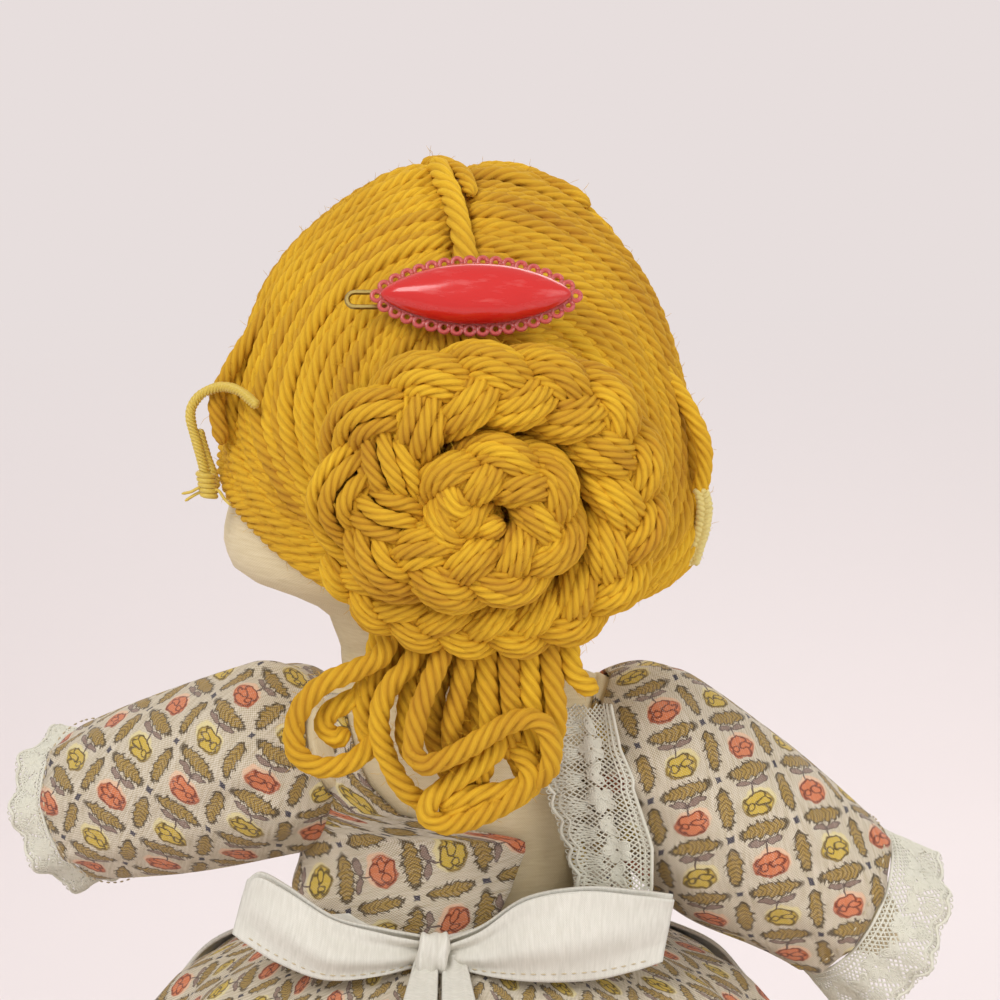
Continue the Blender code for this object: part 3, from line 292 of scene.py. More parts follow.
def head_normals(place):
    step = 0.5
    wide, deep = head_halves(place[:, 2])
    wide_up, deep_up = head_halves(place[:, 2] + step)
    wide_down, deep_down = head_halves(place[:, 2] - step)
    up = (np.hypot(place[:, 0] / wide_up, place[:, 1] / deep_up)
          - np.hypot(place[:, 0] / wide_down, place[:, 1] / deep_down)) / (2 * step)
    out = np.stack((place[:, 0] / wide ** 2, place[:, 1] / deep ** 2, up), axis=1)
    out[place[:, 2] > CROWN - 1] = (0, 0, 1)
    return unit(out)


def behind_head(across, height, stand):
    """Places out from the back of the head, at a place across it and a height."""
    wide, deep = head_halves(height)
    share = np.clip(across / (wide + stand), -0.98, 0.98)
    return np.stack((across, -(deep + stand) * np.sqrt(1 - share ** 2), height), axis=-1)


# Meshes


def walked_along(path):
    """How far each place on a path lies from its start."""
    return np.append(0, np.cumsum(np.linalg.norm(np.diff(path, axis=0), axis=1)))


def smooth_path(points, step=0.0, count=0):
    """Evenly spaced places on a smooth curve through a few points."""
    p = np.asarray(points, float)
    if len(p) > 2:
        padded = np.vstack((2 * p[0] - p[1], p, 2 * p[-1] - p[-2]))
        t = np.linspace(0, 1, 24, endpoint=False)[:, None]
        runs = []
        for a, b, c, d in zip(padded, padded[1:], padded[2:], padded[3:]):
            runs.append(0.5 * (2 * b + (c - a) * t + (2 * a - 5 * b + 4 * c - d) * t ** 2
                               + (3 * b - a - 3 * c + d) * t ** 3))
        p = np.vstack(runs + [p[-1:]])
    walked = walked_along(p[:, :3])
    at = np.linspace(0, walked[-1], count or max(4, int(walked[-1] / step) + 1))
    return np.stack([np.interp(at, walked, p[:, k]) for k in range(p.shape[1])], axis=1)


def directions(path):
    """The way along a path, and two ways across it that turn as little as they can."""
    way = np.gradient(path, axis=0)
    way /= np.linalg.norm(way, axis=1)[:, None] + 1e-12
    side = np.empty_like(way)
    start = np.array((0.0, 0.0, 1.0)) if abs(way[0, 2]) < 0.8 else np.array((1.0, 0.0, 0.0))
    for k in range(len(way)):
        start = start - way[k] * (start @ way[k])
        start = start / math.sqrt(start @ start)
        side[k] = start
    return way, side, np.cross(way, side)


class Shape:
    """Grids of points gathered into one mesh, with a map in millimetres and a tone, which holds
    random tone and painted shade.
    """

    def __init__(self):
        self.points, self.faces, self.corners, self.tones, self.count = [], [], [], [], 0

    def grid(self, points, wrap=False, flat=None, tone=0.0, caps=False):
        rows, columns = points.shape[:2]
        if flat is None:
            flat = np.zeros((rows, columns + 1, 2))
        index = self.count + np.arange(rows * columns).reshape(rows, columns)
        after = np.roll(index, -1, axis=1)
        keep = columns if wrap else columns - 1
        quads = np.stack((index[:-1], after[:-1], after[1:], index[1:]), axis=-1)[:, :keep]
        left, right = flat[:, :keep], flat[:, 1:keep + 1]
        maps = np.stack((left[:-1], right[:-1], right[1:], left[1:]), axis=2)
        self.faces += quads.reshape(-1, 4).tolist()
        self.corners.append(maps.reshape(-1, 2))
        if caps:
            for ring in (index[0][::-1], index[-1]):
                self.faces.append(ring.tolist())
                self.corners.append(np.zeros((columns, 2)))
        self.points.append(points.reshape(-1, 3))
        self.tones.append(np.broadcast_to(tone, (rows, columns)).reshape(-1))
        self.count += rows * columns

    def piece(self, name, kind, outward=False):
        """The shape as an object, turned from millimetres to metres."""
        mesh = bpy.data.meshes.new(name)
        mesh.from_pydata((np.vstack(self.points) * MM).tolist(), [], self.faces)
        mesh.uv_layers.new(name="flat").data.foreach_set(
            "uv", np.vstack(self.corners).astype(np.float32).ravel())
        mesh.attributes.new("tone", "FLOAT", "POINT").data.foreach_set(
            "value", np.concatenate(self.tones).astype(np.float32))
        mesh.materials.append(kind)
        mesh.shade_smooth()
        if outward:
            work = bmesh.new()
            work.from_mesh(mesh)
            bmesh.ops.recalc_face_normals(work, faces=work.faces)
            work.to_mesh(mesh)
            work.free()
        return in_scene(name, mesh)


def place_piece(piece, body, slot, *nodes):
    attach(piece, body)
    if nodes:
        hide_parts(*nodes)
    return piece


def sweep(shape, path, around, reach, walked, girth, tone=0.0):
    """A mesh round a path, from the angles and radii of each ring's points."""
    way, side, up = directions(path)
    around = around + np.zeros((len(path), 1))
    ring = side[:, None] * np.cos(around)[..., None] + up[:, None] * np.sin(around)[..., None]
    points = path[:, None] + ring * reach[..., None]
    across = np.linspace(0, girth, around.shape[1] + 1)
    flat = np.stack(np.broadcast_arrays(walked[:, None], across), axis=-1)
    shape.grid(points, True, flat, tone, caps=True)
    return points, way


def tube(shape, path, radius, sides=10, taper=True):
    """A round cord along a path."""
    path = np.asarray(path, float)
    reach = np.full(len(path), float(radius))
    if taper:
        reach[[0, -1]] *= 0.45
    sweep(shape, path, np.linspace(0, TURN, sides, endpoint=False), reach[:, None],
          walked_along(path), TURN * reach.max())


PLIES = 5
YARN_SIDES = 20
YARN_PITCH = 15.5
# Each yarn that has fibres on it: its points, and the way along it
FUZZ = []


def ply_reach(turn):
    """How far a five-ply yarn reaches in a direction, where 1 is its furthest."""
    bow = math.pi / PLIES
    off = (turn + bow) % (2 * bow) - bow
    hub, ply = 0.62, 0.38
    return hub * np.cos(off) + np.sqrt(np.maximum(ply ** 2 - (hub * np.sin(off)) ** 2, 0))


def spin(shape, path, radius, step=1.1, pitch=YARN_PITCH, hairy=True):
    """A five-ply yarn along a path, S-twisted: its surface turns with its plies."""
    path = smooth_path(path, step)
    walked = walked_along(path)
    start, tone = chance.uniform(0, 6.28), chance.uniform(-1, 1)
    turns = np.linspace(0, TURN, YARN_SIDES, endpoint=False)
    lobes = 0.1 + 0.9 * ply_reach(turns)
    phase = start - TURN * walked / pitch + 0.25 * np.sin(walked / 5 + start)
    reach = radius * (1 + 0.05 * np.sin(walked * 0.9 + start * 3) * np.sin(walked * 0.31 + start))
    reach[[0, -1]] *= 0.35
    reach[[1, -2]] *= 0.8
    # The tone is raised in the grooves between plies, so the yarn is painted darker there: painted
    # shade
    groove_shade = (1 - lobes) / (1 - lobes.min())
    made = sweep(shape, path, turns + phase[:, None], reach[:, None] * lobes,
                 walked + 97 * start, TURN * np.mean(reach), np.round(tone, 2) + groove_shade * 1.6)
    if hairy:
        FUZZ.append(made)


def yarns(name, body, routes, radius, *nodes, pitch=YARN_PITCH):
    """A piece made of several yarns."""
    shape = Shape()
    for route in routes:
        spin(shape, route, radius, pitch=pitch)
    return place_piece(shape.piece(name, YARN), body, "yarn", *nodes)


# Acrylic knitting yarn, spun of five plies: matt, with fine fibres along each ply
YARN, tree, shader = new_material("mustard_acrylic_yarn", "#DFA90D", 0.88, Sheen_Weight=0.15,
                                  Sheen_Roughness=0.6, Sheen_Tint=linear("#F0C62C"))
# Fibres are 0.02 mm thick, drawn 0.2 mm apart so that they show
fibre = noise(tree, stretched(tree, flat_place(tree), (0.22, 5.0, 1.0)), 1.0, 3.0, 0.6)
ramp = add(tree, "ValToRGB", {"Fac": fibre})
for stop, place, colour in zip(ramp.color_ramp.elements, (0.32, 0.68), ("#DFA90D", "#F0C62C")):
    stop.position, stop.color = place, linear(colour)
# Toward deep brown by the tone attribute: each strand's random tone, and painted shade in the ply
# grooves and on the dark sheets under the hair; patch adds random darker patches
tone = add(tree, "Attribute", attribute_name="tone").outputs["Fac"]
patch = noise(tree, object_place(tree), 70.0, 2.0)
tone_and_painted_shade = maths(tree, "ADD", ranged(tree, tone, -1.0, 2.6, 0.1, 0.72),
                 ranged(tree, patch, 0.35, 0.7, 0.0, 0.25))
feed(tree, shader, Base_Color=mixed(tree, tone_and_painted_shade, ramp.outputs["Color"], "#9E6409"),
     Normal=bumped(tree, fibre, 0.5, 0.0002))


# Hair

YARN_RADIUS, LOOSE_YARN, TAIL_YARN = 2.1, 1.9, 2.4
# How far the laid yarn's middle stands out from the head
HAIR_LIE = 2.4
# Each row is one strand's route from the parting to the nape, in order from the back of
# the parting over the crown to the forehead
LEFT_ROUTES = (
    ((0, -40, 150), (-0.5, -41, 147), (-1, -42, 144), (-2, -42, 141), (-3, -42, 138),
     (-4, -42, 133)),
    ((-1, -38, 153), (-8, -40, 149), (-14, -41, 145), (-18, -42, 141), (-21, -42, 137),
     (-23, -42, 131)),
    ((-1, -33, 160), (-14, -36, 157), (-27, -37, 146), (-33, -38, 132), (-32, -39, 120),
     (-29, -40, 109)),
    ((-1, -26, 167), (-20, -28, 164), (-38, -27, 147), (-44, -26, 128), (-39, -34, 112),
     (-31, -39, 101)),
    ((-1, -15, 173), (-24, -17, 168), (-46, -14, 145), (-51, -12, 125), (-43, -30, 106),
     (-29, -40, 95)),
    ((-1, 0, 176), (-26, -2, 170), (-49, 2, 143), (-54, 0, 124), (-43, -28, 104),
     (-27, -40, 92)),
    ((-1, 18, 173), (-26, 18, 167), (-46, 18, 140), (-53, 8, 121), (-43, -28, 102),
     (-24, -40, 88.5)),
    ((-1, 36, 160), (-20, 36, 154), (-40, 30, 134), (-51, 14, 119), (-43, -26, 100.5),
     (-18, -40, 85)),
)
RIGHT_ROUTES = (
    ((2, -40, 150), (2.5, -41, 147), (3, -42, 144), (4, -42, 141), (5, -42, 138), (7, -42, 133)),
    ((2, -38, 153), (10, -40, 150), (20, -41, 147), (26, -40, 143), (30, -39, 138),
     (32, -38, 131)),
    ((2, -32, 160), (18, -35, 156), (33, -33, 147), (40, -31, 134), (42, -31, 122),
     (42, -32, 109)),
    ((2, -25, 167), (24, -26, 163), (43, -22, 147), (48, -21, 128), (47, -24, 112),
     (42, -31, 97)),
    ((2, -15, 173), (28, -14, 167), (48, -10, 145), (51, -11, 122), (48, -20, 104),
     (38, -34, 91)),
    ((1, 0, 176), (28, 0, 170), (50, 3, 143), (53, 0, 118), (48, -19, 99), (34, -36, 87)),
    ((1, 18, 173), (28, 18, 167), (47, 18, 140), (52, 8, 114), (47, -18, 95), (30, -37, 84)),
    ((1, 36, 160), (22, 36, 154), (41, 30, 134), (50, 15, 110), (45, -18, 91), (26, -38, 81)),
)


def route_between(routes, share):
    """A strand's control points, read smoothly between the named routes."""
    table = np.reshape(routes, (len(routes), -1))
    keys = np.linspace(0, 1, len(routes))
    return smooth_table(np.column_stack((keys, table)), share).reshape(-1, 3)


def hair_half(name, routes, node, puff, back, strands=31):
    """Half of the laid hair. puff is how far it stands out above the ear; back gives the
    shares of the head's half width between which yarn runs straight down behind the bun."""
    shape = Shape()
    for k in range(strands):
        share = (k + chance.uniform(-0.25, 0.25)) / (strands - 1)
        path = smooth_path(route_between(routes, min(max(share, 0), 1)), 2.0)
        along = np.linspace(0, 1, len(path))
        fuller = puff * min(max(share - 0.3, 0) * 3, 1)
        stand = (HAIR_LIE + 0.5 * math.sin(k * 2.4) + 0.35 * np.sin(9 * along + k)
                 + fuller * np.exp(-((along - 0.34) / 0.15) ** 2)
                 - 1.4 * np.clip((along - 0.86) / 0.14, 0, 1)
                 - 1.5 * np.clip(1 - along / 0.06, 0, 1))
        spin(shape, on_head(path, stand), YARN_RADIUS)
    down = np.linspace(148, 94, 12)
    for share in np.linspace(*back, 12):
        spin(shape, behind_head(share * head_halves(down)[0], down, 0.5), YARN_RADIUS,
             hairy=False)
    # A sheet of yarn under the strands, toned dark: painted shade that shows in the gaps between
    # them
    under = [on_head(smooth_path(route_between(routes, share), count=24), 1.3)
             for share in np.linspace(0, 1, 26)]
    shape.grid(np.array(under), tone=2.4)
    return place_piece(shape.piece(name, YARN), "head", "yarn", node)


hair_half("laid_hair_left", LEFT_ROUTES, "hair_left", 2.0, (-0.06, -0.56))
hair_half("laid_hair_right", RIGHT_ROUTES, "hair_right", 1.0, (0.06, 0.84))

shape = Shape()
route = smooth_path(((-5, -8, 176), (-1, -22, 170), (1, -30, 163), (3, -36, 155)), 1.0)
spin(shape, on_head(route, HAIR_LIE + 2.2), 2.5, pitch=19)
# The yarn's ends in the parting, which hide the muslin beneath: a sheet toned dark, painted shade
# between the strands
route = smooth_path(((-1, -8, 176), (0, -22, 170), (1, -30, 163), (2, -38, 153)), count=16)
shape.grid(np.array([on_head(route + (dx, 0, 0), 1.4) for dx in np.linspace(-5, 5, 7)]), tone=2.0)
place_piece(shape.piece("parting_strand", YARN), "head", "yarn", "part_strand")

# Each row: across, height, the braid's half width and half thickness, and how far it
# stands from the head. The coil starts at the lower left and ends in its own middle
BUN_ROUTE = (
    (-26, 98, 5.0, 5.0, 9.5), (-13, 87, 6.5, 6.0, 10.5), (6, 83.5, 7.0, 6.2, 11.0),
    (23, 87, 8.0, 6.5, 11.5), (33, 98.5, 9.5, 7.0, 12.2), (34.5, 114, 10.0, 7.5, 12.6),
    (27, 128.5, 10.0, 7.5, 12.8), (10, 134, 9.5, 7.5, 12.8), (-7, 131, 10.5, 7.5, 12.8),
    (-17.5, 119.5, 12.5, 7.5, 12.8), (-17, 105, 12.5, 7.5, 12.8), (-4, 97, 9.2, 7.2, 13.2),
    (11, 97, 8.2, 7.0, 13.4), (19, 105, 8.0, 7.0, 13.4), (15, 116, 8.0, 7.0, 13.4),
    (3, 117, 7.5, 6.5, 13.0), (-3, 110.5, 6.8, 6.3, 12.8), (2, 105, 6.3, 6.0, 12.6),
    (8, 108, 5.0, 5.0, 12.6),
)
BUNDLE, BRAID_YARN = 8, 1.75

# The bun's braid: three strands that weave over and under, each a bundle of yarns
bun = np.array(BUN_ROUTE, float)
table = smooth_path(np.column_stack((behind_head(bun[:, 0], bun[:, 1], bun[:, 4]), bun[:, 2:4])),
                    1.5)
path, wide, thick = table[:, :3], table[:, 3:4], table[:, 4:5]
way = unit(np.gradient(path, axis=0))
side = unit(np.cross(way, head_normals(on_head(path, 0.0))))
out = np.cross(side, way)
walked = walked_along(path)[:, None]
phase = np.cumsum(np.diff(walked, axis=0, prepend=0) * TURN / (30 + 2.0 * (wide - 7)), axis=0)
half, deep = 0.5 * wide, 0.6 * thick
for strand in range(3):
    shape = Shape()
    turn = phase + TURN * strand / 3
    middle = (path + side * ((wide - half) * np.sin(turn))
              + out * ((thick - deep) * np.sin(2 * turn)))
    run = unit(np.gradient(middle, axis=0))
    lift = unit(out - run * np.sum(out * run, axis=1, keepdims=True))
    for k in range(BUNDLE):
        angle = TURN * k / BUNDLE + 0.012 * walked + strand
        spin(shape, middle + np.cross(run, lift) * ((half - BRAID_YARN * 0.8) * np.cos(angle))
             + lift * ((deep - BRAID_YARN * 0.7) * np.sin(angle)), BRAID_YARN)
    place_piece(shape.piece("bun_strand_" + "abc"[strand], YARN), "head", "yarn")
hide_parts("bun_braid")
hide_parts("bun_centre")


# Ponytail: one long yarn folded into loops, and looser loops over it

TAIL_ROUTES = (
    ((-13.7, -42, 85), (-15.5, -43.5, 77), (-20.9, -43.5, 73.6), (-28.1, -43.5, 70.4),
     (-32.6, -43.5, 65.8), (-34.4, -43.5, 61), (-33.9, -43.5, 55.8), (-29.9, -43, 52.6),
     (-24.5, -42, 52.6), (-20, -41, 55), (-16.4, -40, 59.4)),
    ((-16, -39, 82), (-18, -39, 73.6), (-20, -39, 68), (-24, -39.5, 65.5), (-27.6, -39.5, 63),
     (-28.1, -39.5, 60), (-25.8, -39.5, 58), (-23, -39, 59.4)),
    ((-12, -39, 85), (-14, -39.5, 76), (-18.6, -40, 69.5), (-20, -40, 64.9), (-19.6, -39.5, 60),
     (-18, -39, 56)),
    ((-5.5, -42, 85), (-9.6, -44, 75.4), (-13.7, -44.5, 70.8), (-16.1, -44.5, 65.8),
     (-16.4, -44.5, 60.4), (-15, -44, 55), (-12.3, -43.5, 49.4), (-9.6, -42, 46), (-6, -41, 43.5)),
    ((-1, -42, 85), (-3.4, -46, 77), (-6.3, -48, 70), (-8.2, -48, 64.9), (-9.1, -48, 60),
     (-9.2, -48, 56.5), (-6.8, -48.5, 54.2), (-2.8, -48.5, 55.3), (1.7, -48.5, 57.6),
     (6.2, -48.5, 60.4), (10.7, -48.5, 63), (15.2, -48, 64), (18.4, -47.5, 62), (19.7, -47, 57.6),
     (19.3, -46, 53), (16.6, -44.5, 50), (13, -43, 47.5)),
    ((3, -42, 85), (1.7, -44, 75), (0.3, -44, 68.6), (-1, -44, 63), (-1.2, -43, 57), (0, -42, 51)),
    ((-3, -39, 84), (-3.5, -40, 74), (-5, -40, 64), (-4, -40, 55), (0, -40, 49), (4, -40, 52),
     (4.6, -40, 60), (3.6, -40, 72), (3, -39, 84)),
    ((7.1, -42, 85), (6.2, -43.5, 77), (6.2, -43.5, 70.4), (6.8, -43.5, 62), (6, -42.5, 54),
     (4, -41.5, 48)),
    ((11.1, -42, 85), (10.7, -44, 76.8), (11, -44, 70.4), (11.6, -43.5, 62), (10.5, -42, 54)),
    ((15.2, -41.5, 85), (15, -43.5, 76.8), (15.2, -43.5, 69), (15.8, -43, 60), (14, -42, 53)),
    ((19.3, -41, 85), (19.3, -43, 77), (20.2, -43.5, 70), (20.8, -43, 64), (20, -42, 57),
     (18, -41, 52)),
    ((9, -39, 84), (9, -40, 74), (11, -40, 60), (14, -40, 51), (18, -40, 54), (18, -40, 66),
     (17, -39, 84)),
    ((-9.5, -38.5, 85), (-9.5, -40, 75), (-10.5, -40.5, 66), (-11, -40, 58), (-8, -39.5, 52)),
    ((-5, -38.5, 85), (-6, -40, 75), (-7.5, -41, 66), (-4, -41, 56), (1, -40, 50)),
    ((0.5, -38, 85), (0, -39.5, 74), (1, -40, 62), (2.5, -39.5, 54)),
    ((13.2, -38.5, 85), (13, -40, 75), (13.5, -40, 66), (16, -39.5, 58), (17, -39, 52)),
    ((22, -39, 84), (23.2, -41.5, 78.5), (24.2, -42, 73), (26.6, -41.6, 70), (29.4, -40.6, 68.4)),
    ((15, -43.5, 53), (14, -44, 49), (9, -44, 47.2), (4, -44, 46.7), (-1, -44, 45.7),
     (-4.5, -43.5, 45)),
    ((12.5, -42.5, 58), (15.5, -43, 53.5), (16, -43, 49.5), (12, -43, 45.6), (6, -43.5, 44.3),
     (0, -43.5, 43.6), (-4, -43.5, 43.6)),
    ((9.8, -42, 61), (8.2, -44.5, 56.7), (3.9, -45, 53), (-1.5, -45, 49.4), (-5.5, -45, 46),
     (-6.5, -45, 42.6), (-3, -45, 40.6), (1.5, -45, 41.3), (6.2, -45, 43), (12, -45, 46.4),
     (15.4, -45, 50), (14.5, -44, 54), (11, -43, 57.5)),
)
tail_start = len(FUZZ)
yarns("nape_loops", "ponytail", TAIL_ROUTES, TAIL_YARN, "ponytail_loop_1", "ponytail_loop_2",
      "ponytail_loop_3", "ponytail_loop_4", "ponytail_loop_5", "ponytail_side_loop",
      "ponytail_cross_loop", pitch=17)
tail_end = len(FUZZ)

# Loose strands that bow out from the sides of the head
yarns("loose_hair_left", "head",
      (((-37, -14, 153), (-41, -14, 146.5), (-46, -14, 139.5), (-50.2, -14, 132.5),
        (-52.5, -15, 126.5), (-51, -18, 118)),
       ((-38, -11, 150), (-43.5, -12, 141), (-48, -12, 132), (-49.5, -13, 122),
        (-48.5, -14, 114))), LOOSE_YARN, "side_strand_left")
yarns("loose_hair_right", "head",
      (((43, -14, 135), (46.5, -15, 130.5), (50, -16, 125), (52.8, -16, 118.5),
        (53.2, -16, 112.5), (51.6, -16, 105.5), (49.6, -15, 98)),
       ((43, -9, 139), (47, -9, 131), (49.8, -10, 121), (50.6, -12, 111), (49.8, -13, 102))),
      LOOSE_YARN, "side_strand_right")

# The crown's second hump and the knotted end of its yarn
routes = [on_head(smooth_path(row, 1.5), HAIR_LIE + 1.6) for row in (
    ((4, 14, 178), (14, 6, 177.5), (24, 0, 174.5), (33, -4, 169), (38, -6, 163)),
    ((-8, 4, 179), (-3, -6, 178.6), (1, -14, 176.5), (3, -20, 172)),
    ((6, 20, 178), (17, 12, 176.5), (28, 6, 172), (36, 2, 165.5)))]
nub = smooth_path(((14, 6, 177.5), (20, 0, 176.5), (25, -3, 174.5), (28.5, -4.5, 172)), 1.0)
routes.append(on_head(nub, np.linspace(HAIR_LIE + 1, HAIR_LIE + 3.4, len(nub))))
yarns("crown_yarns", "head", routes, LOOSE_YARN)


def fuzz(name, body, points_and_ways, share):
    """Acrylic fibres 0.1 mm thick, drawn coarser than the real 0.03 mm, on given yarns."""
    shape = Shape()
    for points, way in points_and_ways:
        rows, sides = points.shape[:2]
        middle = points.mean(axis=1)
        count = chance.poisson(share * rows)
        row, side = chance.integers(1, rows - 1, count), chance.integers(0, sides, count)
        foot = points[row, side]
        out = unit(foot - middle[row])
        lean = way[row] * chance.normal(0, 0.9, (count, 1)) + chance.normal(0, 0.4, (count, 3))
        aim = unit(out + lean)
        long = chance.uniform(0.9, 2.6, (count, 1))
        bend = np.cross(aim, chance.normal(0, 1, (count, 3))) * 0.35
        line = np.stack([foot - 0.1 * out, foot + aim * long * 0.5 + bend * long * 0.3,
                         foot + aim * long + bend * long], axis=1)
        for path in line:
            tube(shape, path, 0.05, sides=3)
    return place_piece(shape.piece(name, YARN), body, "yarn")


# Bare metal, thread and plastic


def plain_finish(name, base, roughness, grain, size, deep, **sockets):
    """A finish with a soft unevenness of tone, and a bump of the same grain."""
    made, tree, shader = new_material(name, base, roughness, **sockets)
    uneven = noise(tree, object_place(tree), size * 10, 3.0, 0.55)
    feed(tree, shader, Base_Color=mixed(tree, uneven, base, deep),
         Normal=bumped(tree, uneven, 0.4, grain))
    return made


# Rayon thread wound over a cord: a soft shine on every turn
GOLD_THREAD = plain_finish("wound_gold_thread", "#D8BE4E", 0.42, 0.0001, 200, "#C4A233",
                           Sheen_Weight=0.3)
PALE_THREAD = plain_finish("plaited_pale_gold_thread", "#E3D38C", 0.45, 0.0001, 200, "#D1BC63",
                           Sheen_Weight=0.3)

shape = Shape()
arch = ((-42.7, -27.5, 127.3), (-46.8, -23, 130), (-51, -19, 130.5), (-55.1, -17, 129),
        (-57.4, -16.5, 126.5), (-58, -16.5, 124), (-57.4, -16.5, 120.6), (-56.4, -17, 117.3),
        (-55.5, -17, 113.9), (-54.7, -17, 110.6))
back = ((-56.4, -15.2, 121), (-55.2, -15.6, 116.5), (-53.6, -16, 112), (-52.6, -16.6, 108))
for route in (arch, back):
    spin(shape, route, 1.15, 0.35, 4.4, hairy=False)
# Five turns of a finer thread bind the ends, and its tails stand out
angle = np.linspace(0, TURN * 5, 70)
ring = np.stack((np.cos(angle), np.sin(angle), 0 * angle), axis=1) * 1.6
tube(shape, np.linspace((-55, -17, 112), (-54.0, -17, 106.5), 70) + ring, 0.6, 8)
for tail in (((-54.6, -17, 109), (-56.5, -18, 108.4), (-58, -18, 107.6), (-60, -18, 107.2)),
             ((-54, -17, 108), (-52, -18.5, 108), (-50.6, -20, 106.4), (-49, -21, 105)),
             ((-54.6, -17, 108), (-57, -17.5, 107), (-59.3, -18, 105.6))):
    tube(shape, smooth_path(tail, 0.5), 0.35, 6)
place_piece(shape.piece("thread_earring_left", GOLD_THREAD), "left_earring",
            "gold_thread", "left_earring")

shape = Shape()
drop = ((52.4, -17, 108), (53.2, -17.5, 104), (52.6, -17.5, 99), (51.4, -17.5, 95),
        (50.4, -17, 91.5))
plait = smooth_path(drop, 0.35)
along = np.linspace(0, TURN * 5, len(plait))
for k in range(3):
    turn = along + TURN * k / 3
    tube(shape, plait + np.stack((1.25 * np.sin(turn), 0.5 * np.sin(2 * turn), 0 * turn), axis=1),
         0.72, 8)
place_piece(shape.piece("thread_earring_right", PALE_THREAD), "right_earring",
            "gold_thread", "right_earring")


# Barrette, in its own plane: x along it, y up across it, z out from the head

BARRETTE_FOOT = np.array((3.996, -35.381, 148.955))
BARRETTE_AXES = np.array(((1, 0, 0), (0, 0.37461, 0.92718), (0, -0.92718, 0.37461)))
RIM_LEVEL, DOME_LEVEL, DOME_RISE, DOME_HALF, DOME_TALL = 7.825, 8.725, 4.6, 19.7, 6.5
# How far the almond's ends are drawn in to a point
ALMOND_POINT = 0.34


def barrette_place(points):
    return BARRETTE_FOOT + np.asarray(points, float) @ BARRETTE_AXES


def almond_edge(turns, grow=0.0):
    x = np.cos(turns)
    half = np.maximum(1 - x * x, 0) ** 0.5 * (1 - ALMOND_POINT * np.abs(x) ** 2.5)
    return np.stack(((DOME_HALF + grow) * x,
                     np.copysign((DOME_TALL + grow) * half, np.sin(turns))), axis=-1)


# Polished polystyrene, worn: a hard gloss with fine scuffs
RED_PLASTIC, tree, shader = new_material("moulded_red_polystyrene", "#C9201C", 0.2,
                                         Coat_Weight=0.3, Coat_Roughness=0.12)
scratched = stretched(tree, object_place(tree), (180, 600, 900), (0.2, 0.3, 0.6))
scuff = noise(tree, scratched, 1.0, 4.0)
pale = ranged(tree, scuff, 0.62, 0.8, 0.0, 0.5)
feed(tree, shader, Base_Color=mixed(tree, pale, "#C9201C", "#DE6E68"),
     Roughness=ranged(tree, scuff, 0.5, 0.75, 0.16, 0.5),
     Normal=bumped(tree, scuff, 0.15, 0.0001))

edge = almond_edge(np.linspace(0, TURN, 96, endpoint=False))
lean = math.pi / 2 * np.arange(14) / 14
shares = np.append(0.97, np.cos(lean) ** 0.85)
levels = np.append(DOME_LEVEL, DOME_LEVEL + 0.4 + (DOME_RISE - 0.4) * np.sin(lean))
rows = [np.column_stack((edge * share, np.full(96, level)))
        for share, level in zip(shares, levels)]
shape = Shape()
shape.grid(barrette_place(rows), True, caps=True)
place_piece(shape.piece("domed_almond", RED_PLASTIC, outward=True), "barrette", "red_plastic",
            "barrette_dome")

# The same plastic, thin enough to let light through
CLEAR_RED = plain_finish("thin_red_polystyrene", "#EC7A76", 0.18, 0.00005, 60, "#DC5C58",
                         Transmission_Weight=0.45)
RIM_RINGS, RING, RING_TUBE = 34, 1.02, 0.5
fine = almond_edge(np.linspace(0, TURN, 2001), 0.85)
walked = walked_along(fine)
shape = Shape()
around = np.linspace(0, TURN, 20)
for spot in np.arange(RIM_RINGS) * walked[-1] / RIM_RINGS:
    x, y = (np.interp(spot, walked, fine[:, k]) for k in range(2))
    ring = np.column_stack((x + RING * np.cos(around), y + RING * np.sin(around),
                            np.full(20, RIM_LEVEL)))
    tube(shape, barrette_place(ring), RING_TUBE, 8, taper=False)
inner = np.linspace(0, TURN, 97)
for grow, level in ((-0.35, RIM_LEVEL), (-0.9, RIM_LEVEL + 0.2)):
    tube(shape, barrette_place(np.column_stack((almond_edge(inner, grow), np.full(97, level)))),
         0.55, 8, taper=False)
place_piece(shape.piece("ring_rim", CLEAR_RED), "barrette", "clear_red_plastic", "barrette_rim")

# Drawn brass wire and sprung strip, tarnished brown in the hollows
BRASS = plain_finish("drawn_brass", "#B09A5E", 0.34, 0.00003, 80, "#8A7440", Metallic=1.0)
for node in ("barrette_bar", "barrette_clasp"):
    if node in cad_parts:
        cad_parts[node].data.materials[0] = BRASS


# Cloth


def rows_between(surface, first, last, rows, columns, wrap=False):
    """A grid of points from surface(along, around), with its flat map in millimetres."""
    along, around = np.broadcast_arrays(
        np.linspace(first[0], last[0], rows)[:, None],
        np.linspace(first[1], last[1], columns, endpoint=not wrap))
    points = surface(along, around)
    closed = np.concatenate((points, points[:, :1]), axis=1) if wrap else points
    u = np.append(0, np.cumsum(np.linalg.norm(np.diff(closed, axis=1), axis=2).mean(axis=0)))
    v = np.append(0, np.cumsum(np.linalg.norm(np.diff(points, axis=0), axis=2).mean(axis=1)))
    if not wrap:
        u = np.append(u, u[-1])
    return points, np.stack(np.broadcast_arrays(u, v[:, None]), axis=-1)


def cloth(name, surface, first, last, rows, columns, kind, thick, aim=0):
    """A cloth piece with a real thickness. It is closed where it goes all the way round, and
    aim turns its flat map by degrees."""
    wrap = last[1] == TURN
    points, flat = rows_between(surface, first, last, rows, columns, wrap)
    c, s = math.cos(math.radians(aim)), math.sin(math.radians(aim))
    shape = Shape()
    shape.grid(points, wrap, flat @ np.array(((c, s), (-s, c))))
    piece = shape.piece(name, kind)
    wall = piece.modifiers.new("cloth", "SOLIDIFY")
    wall.thickness = thick * MM
    wall.offset = 0
    return piece


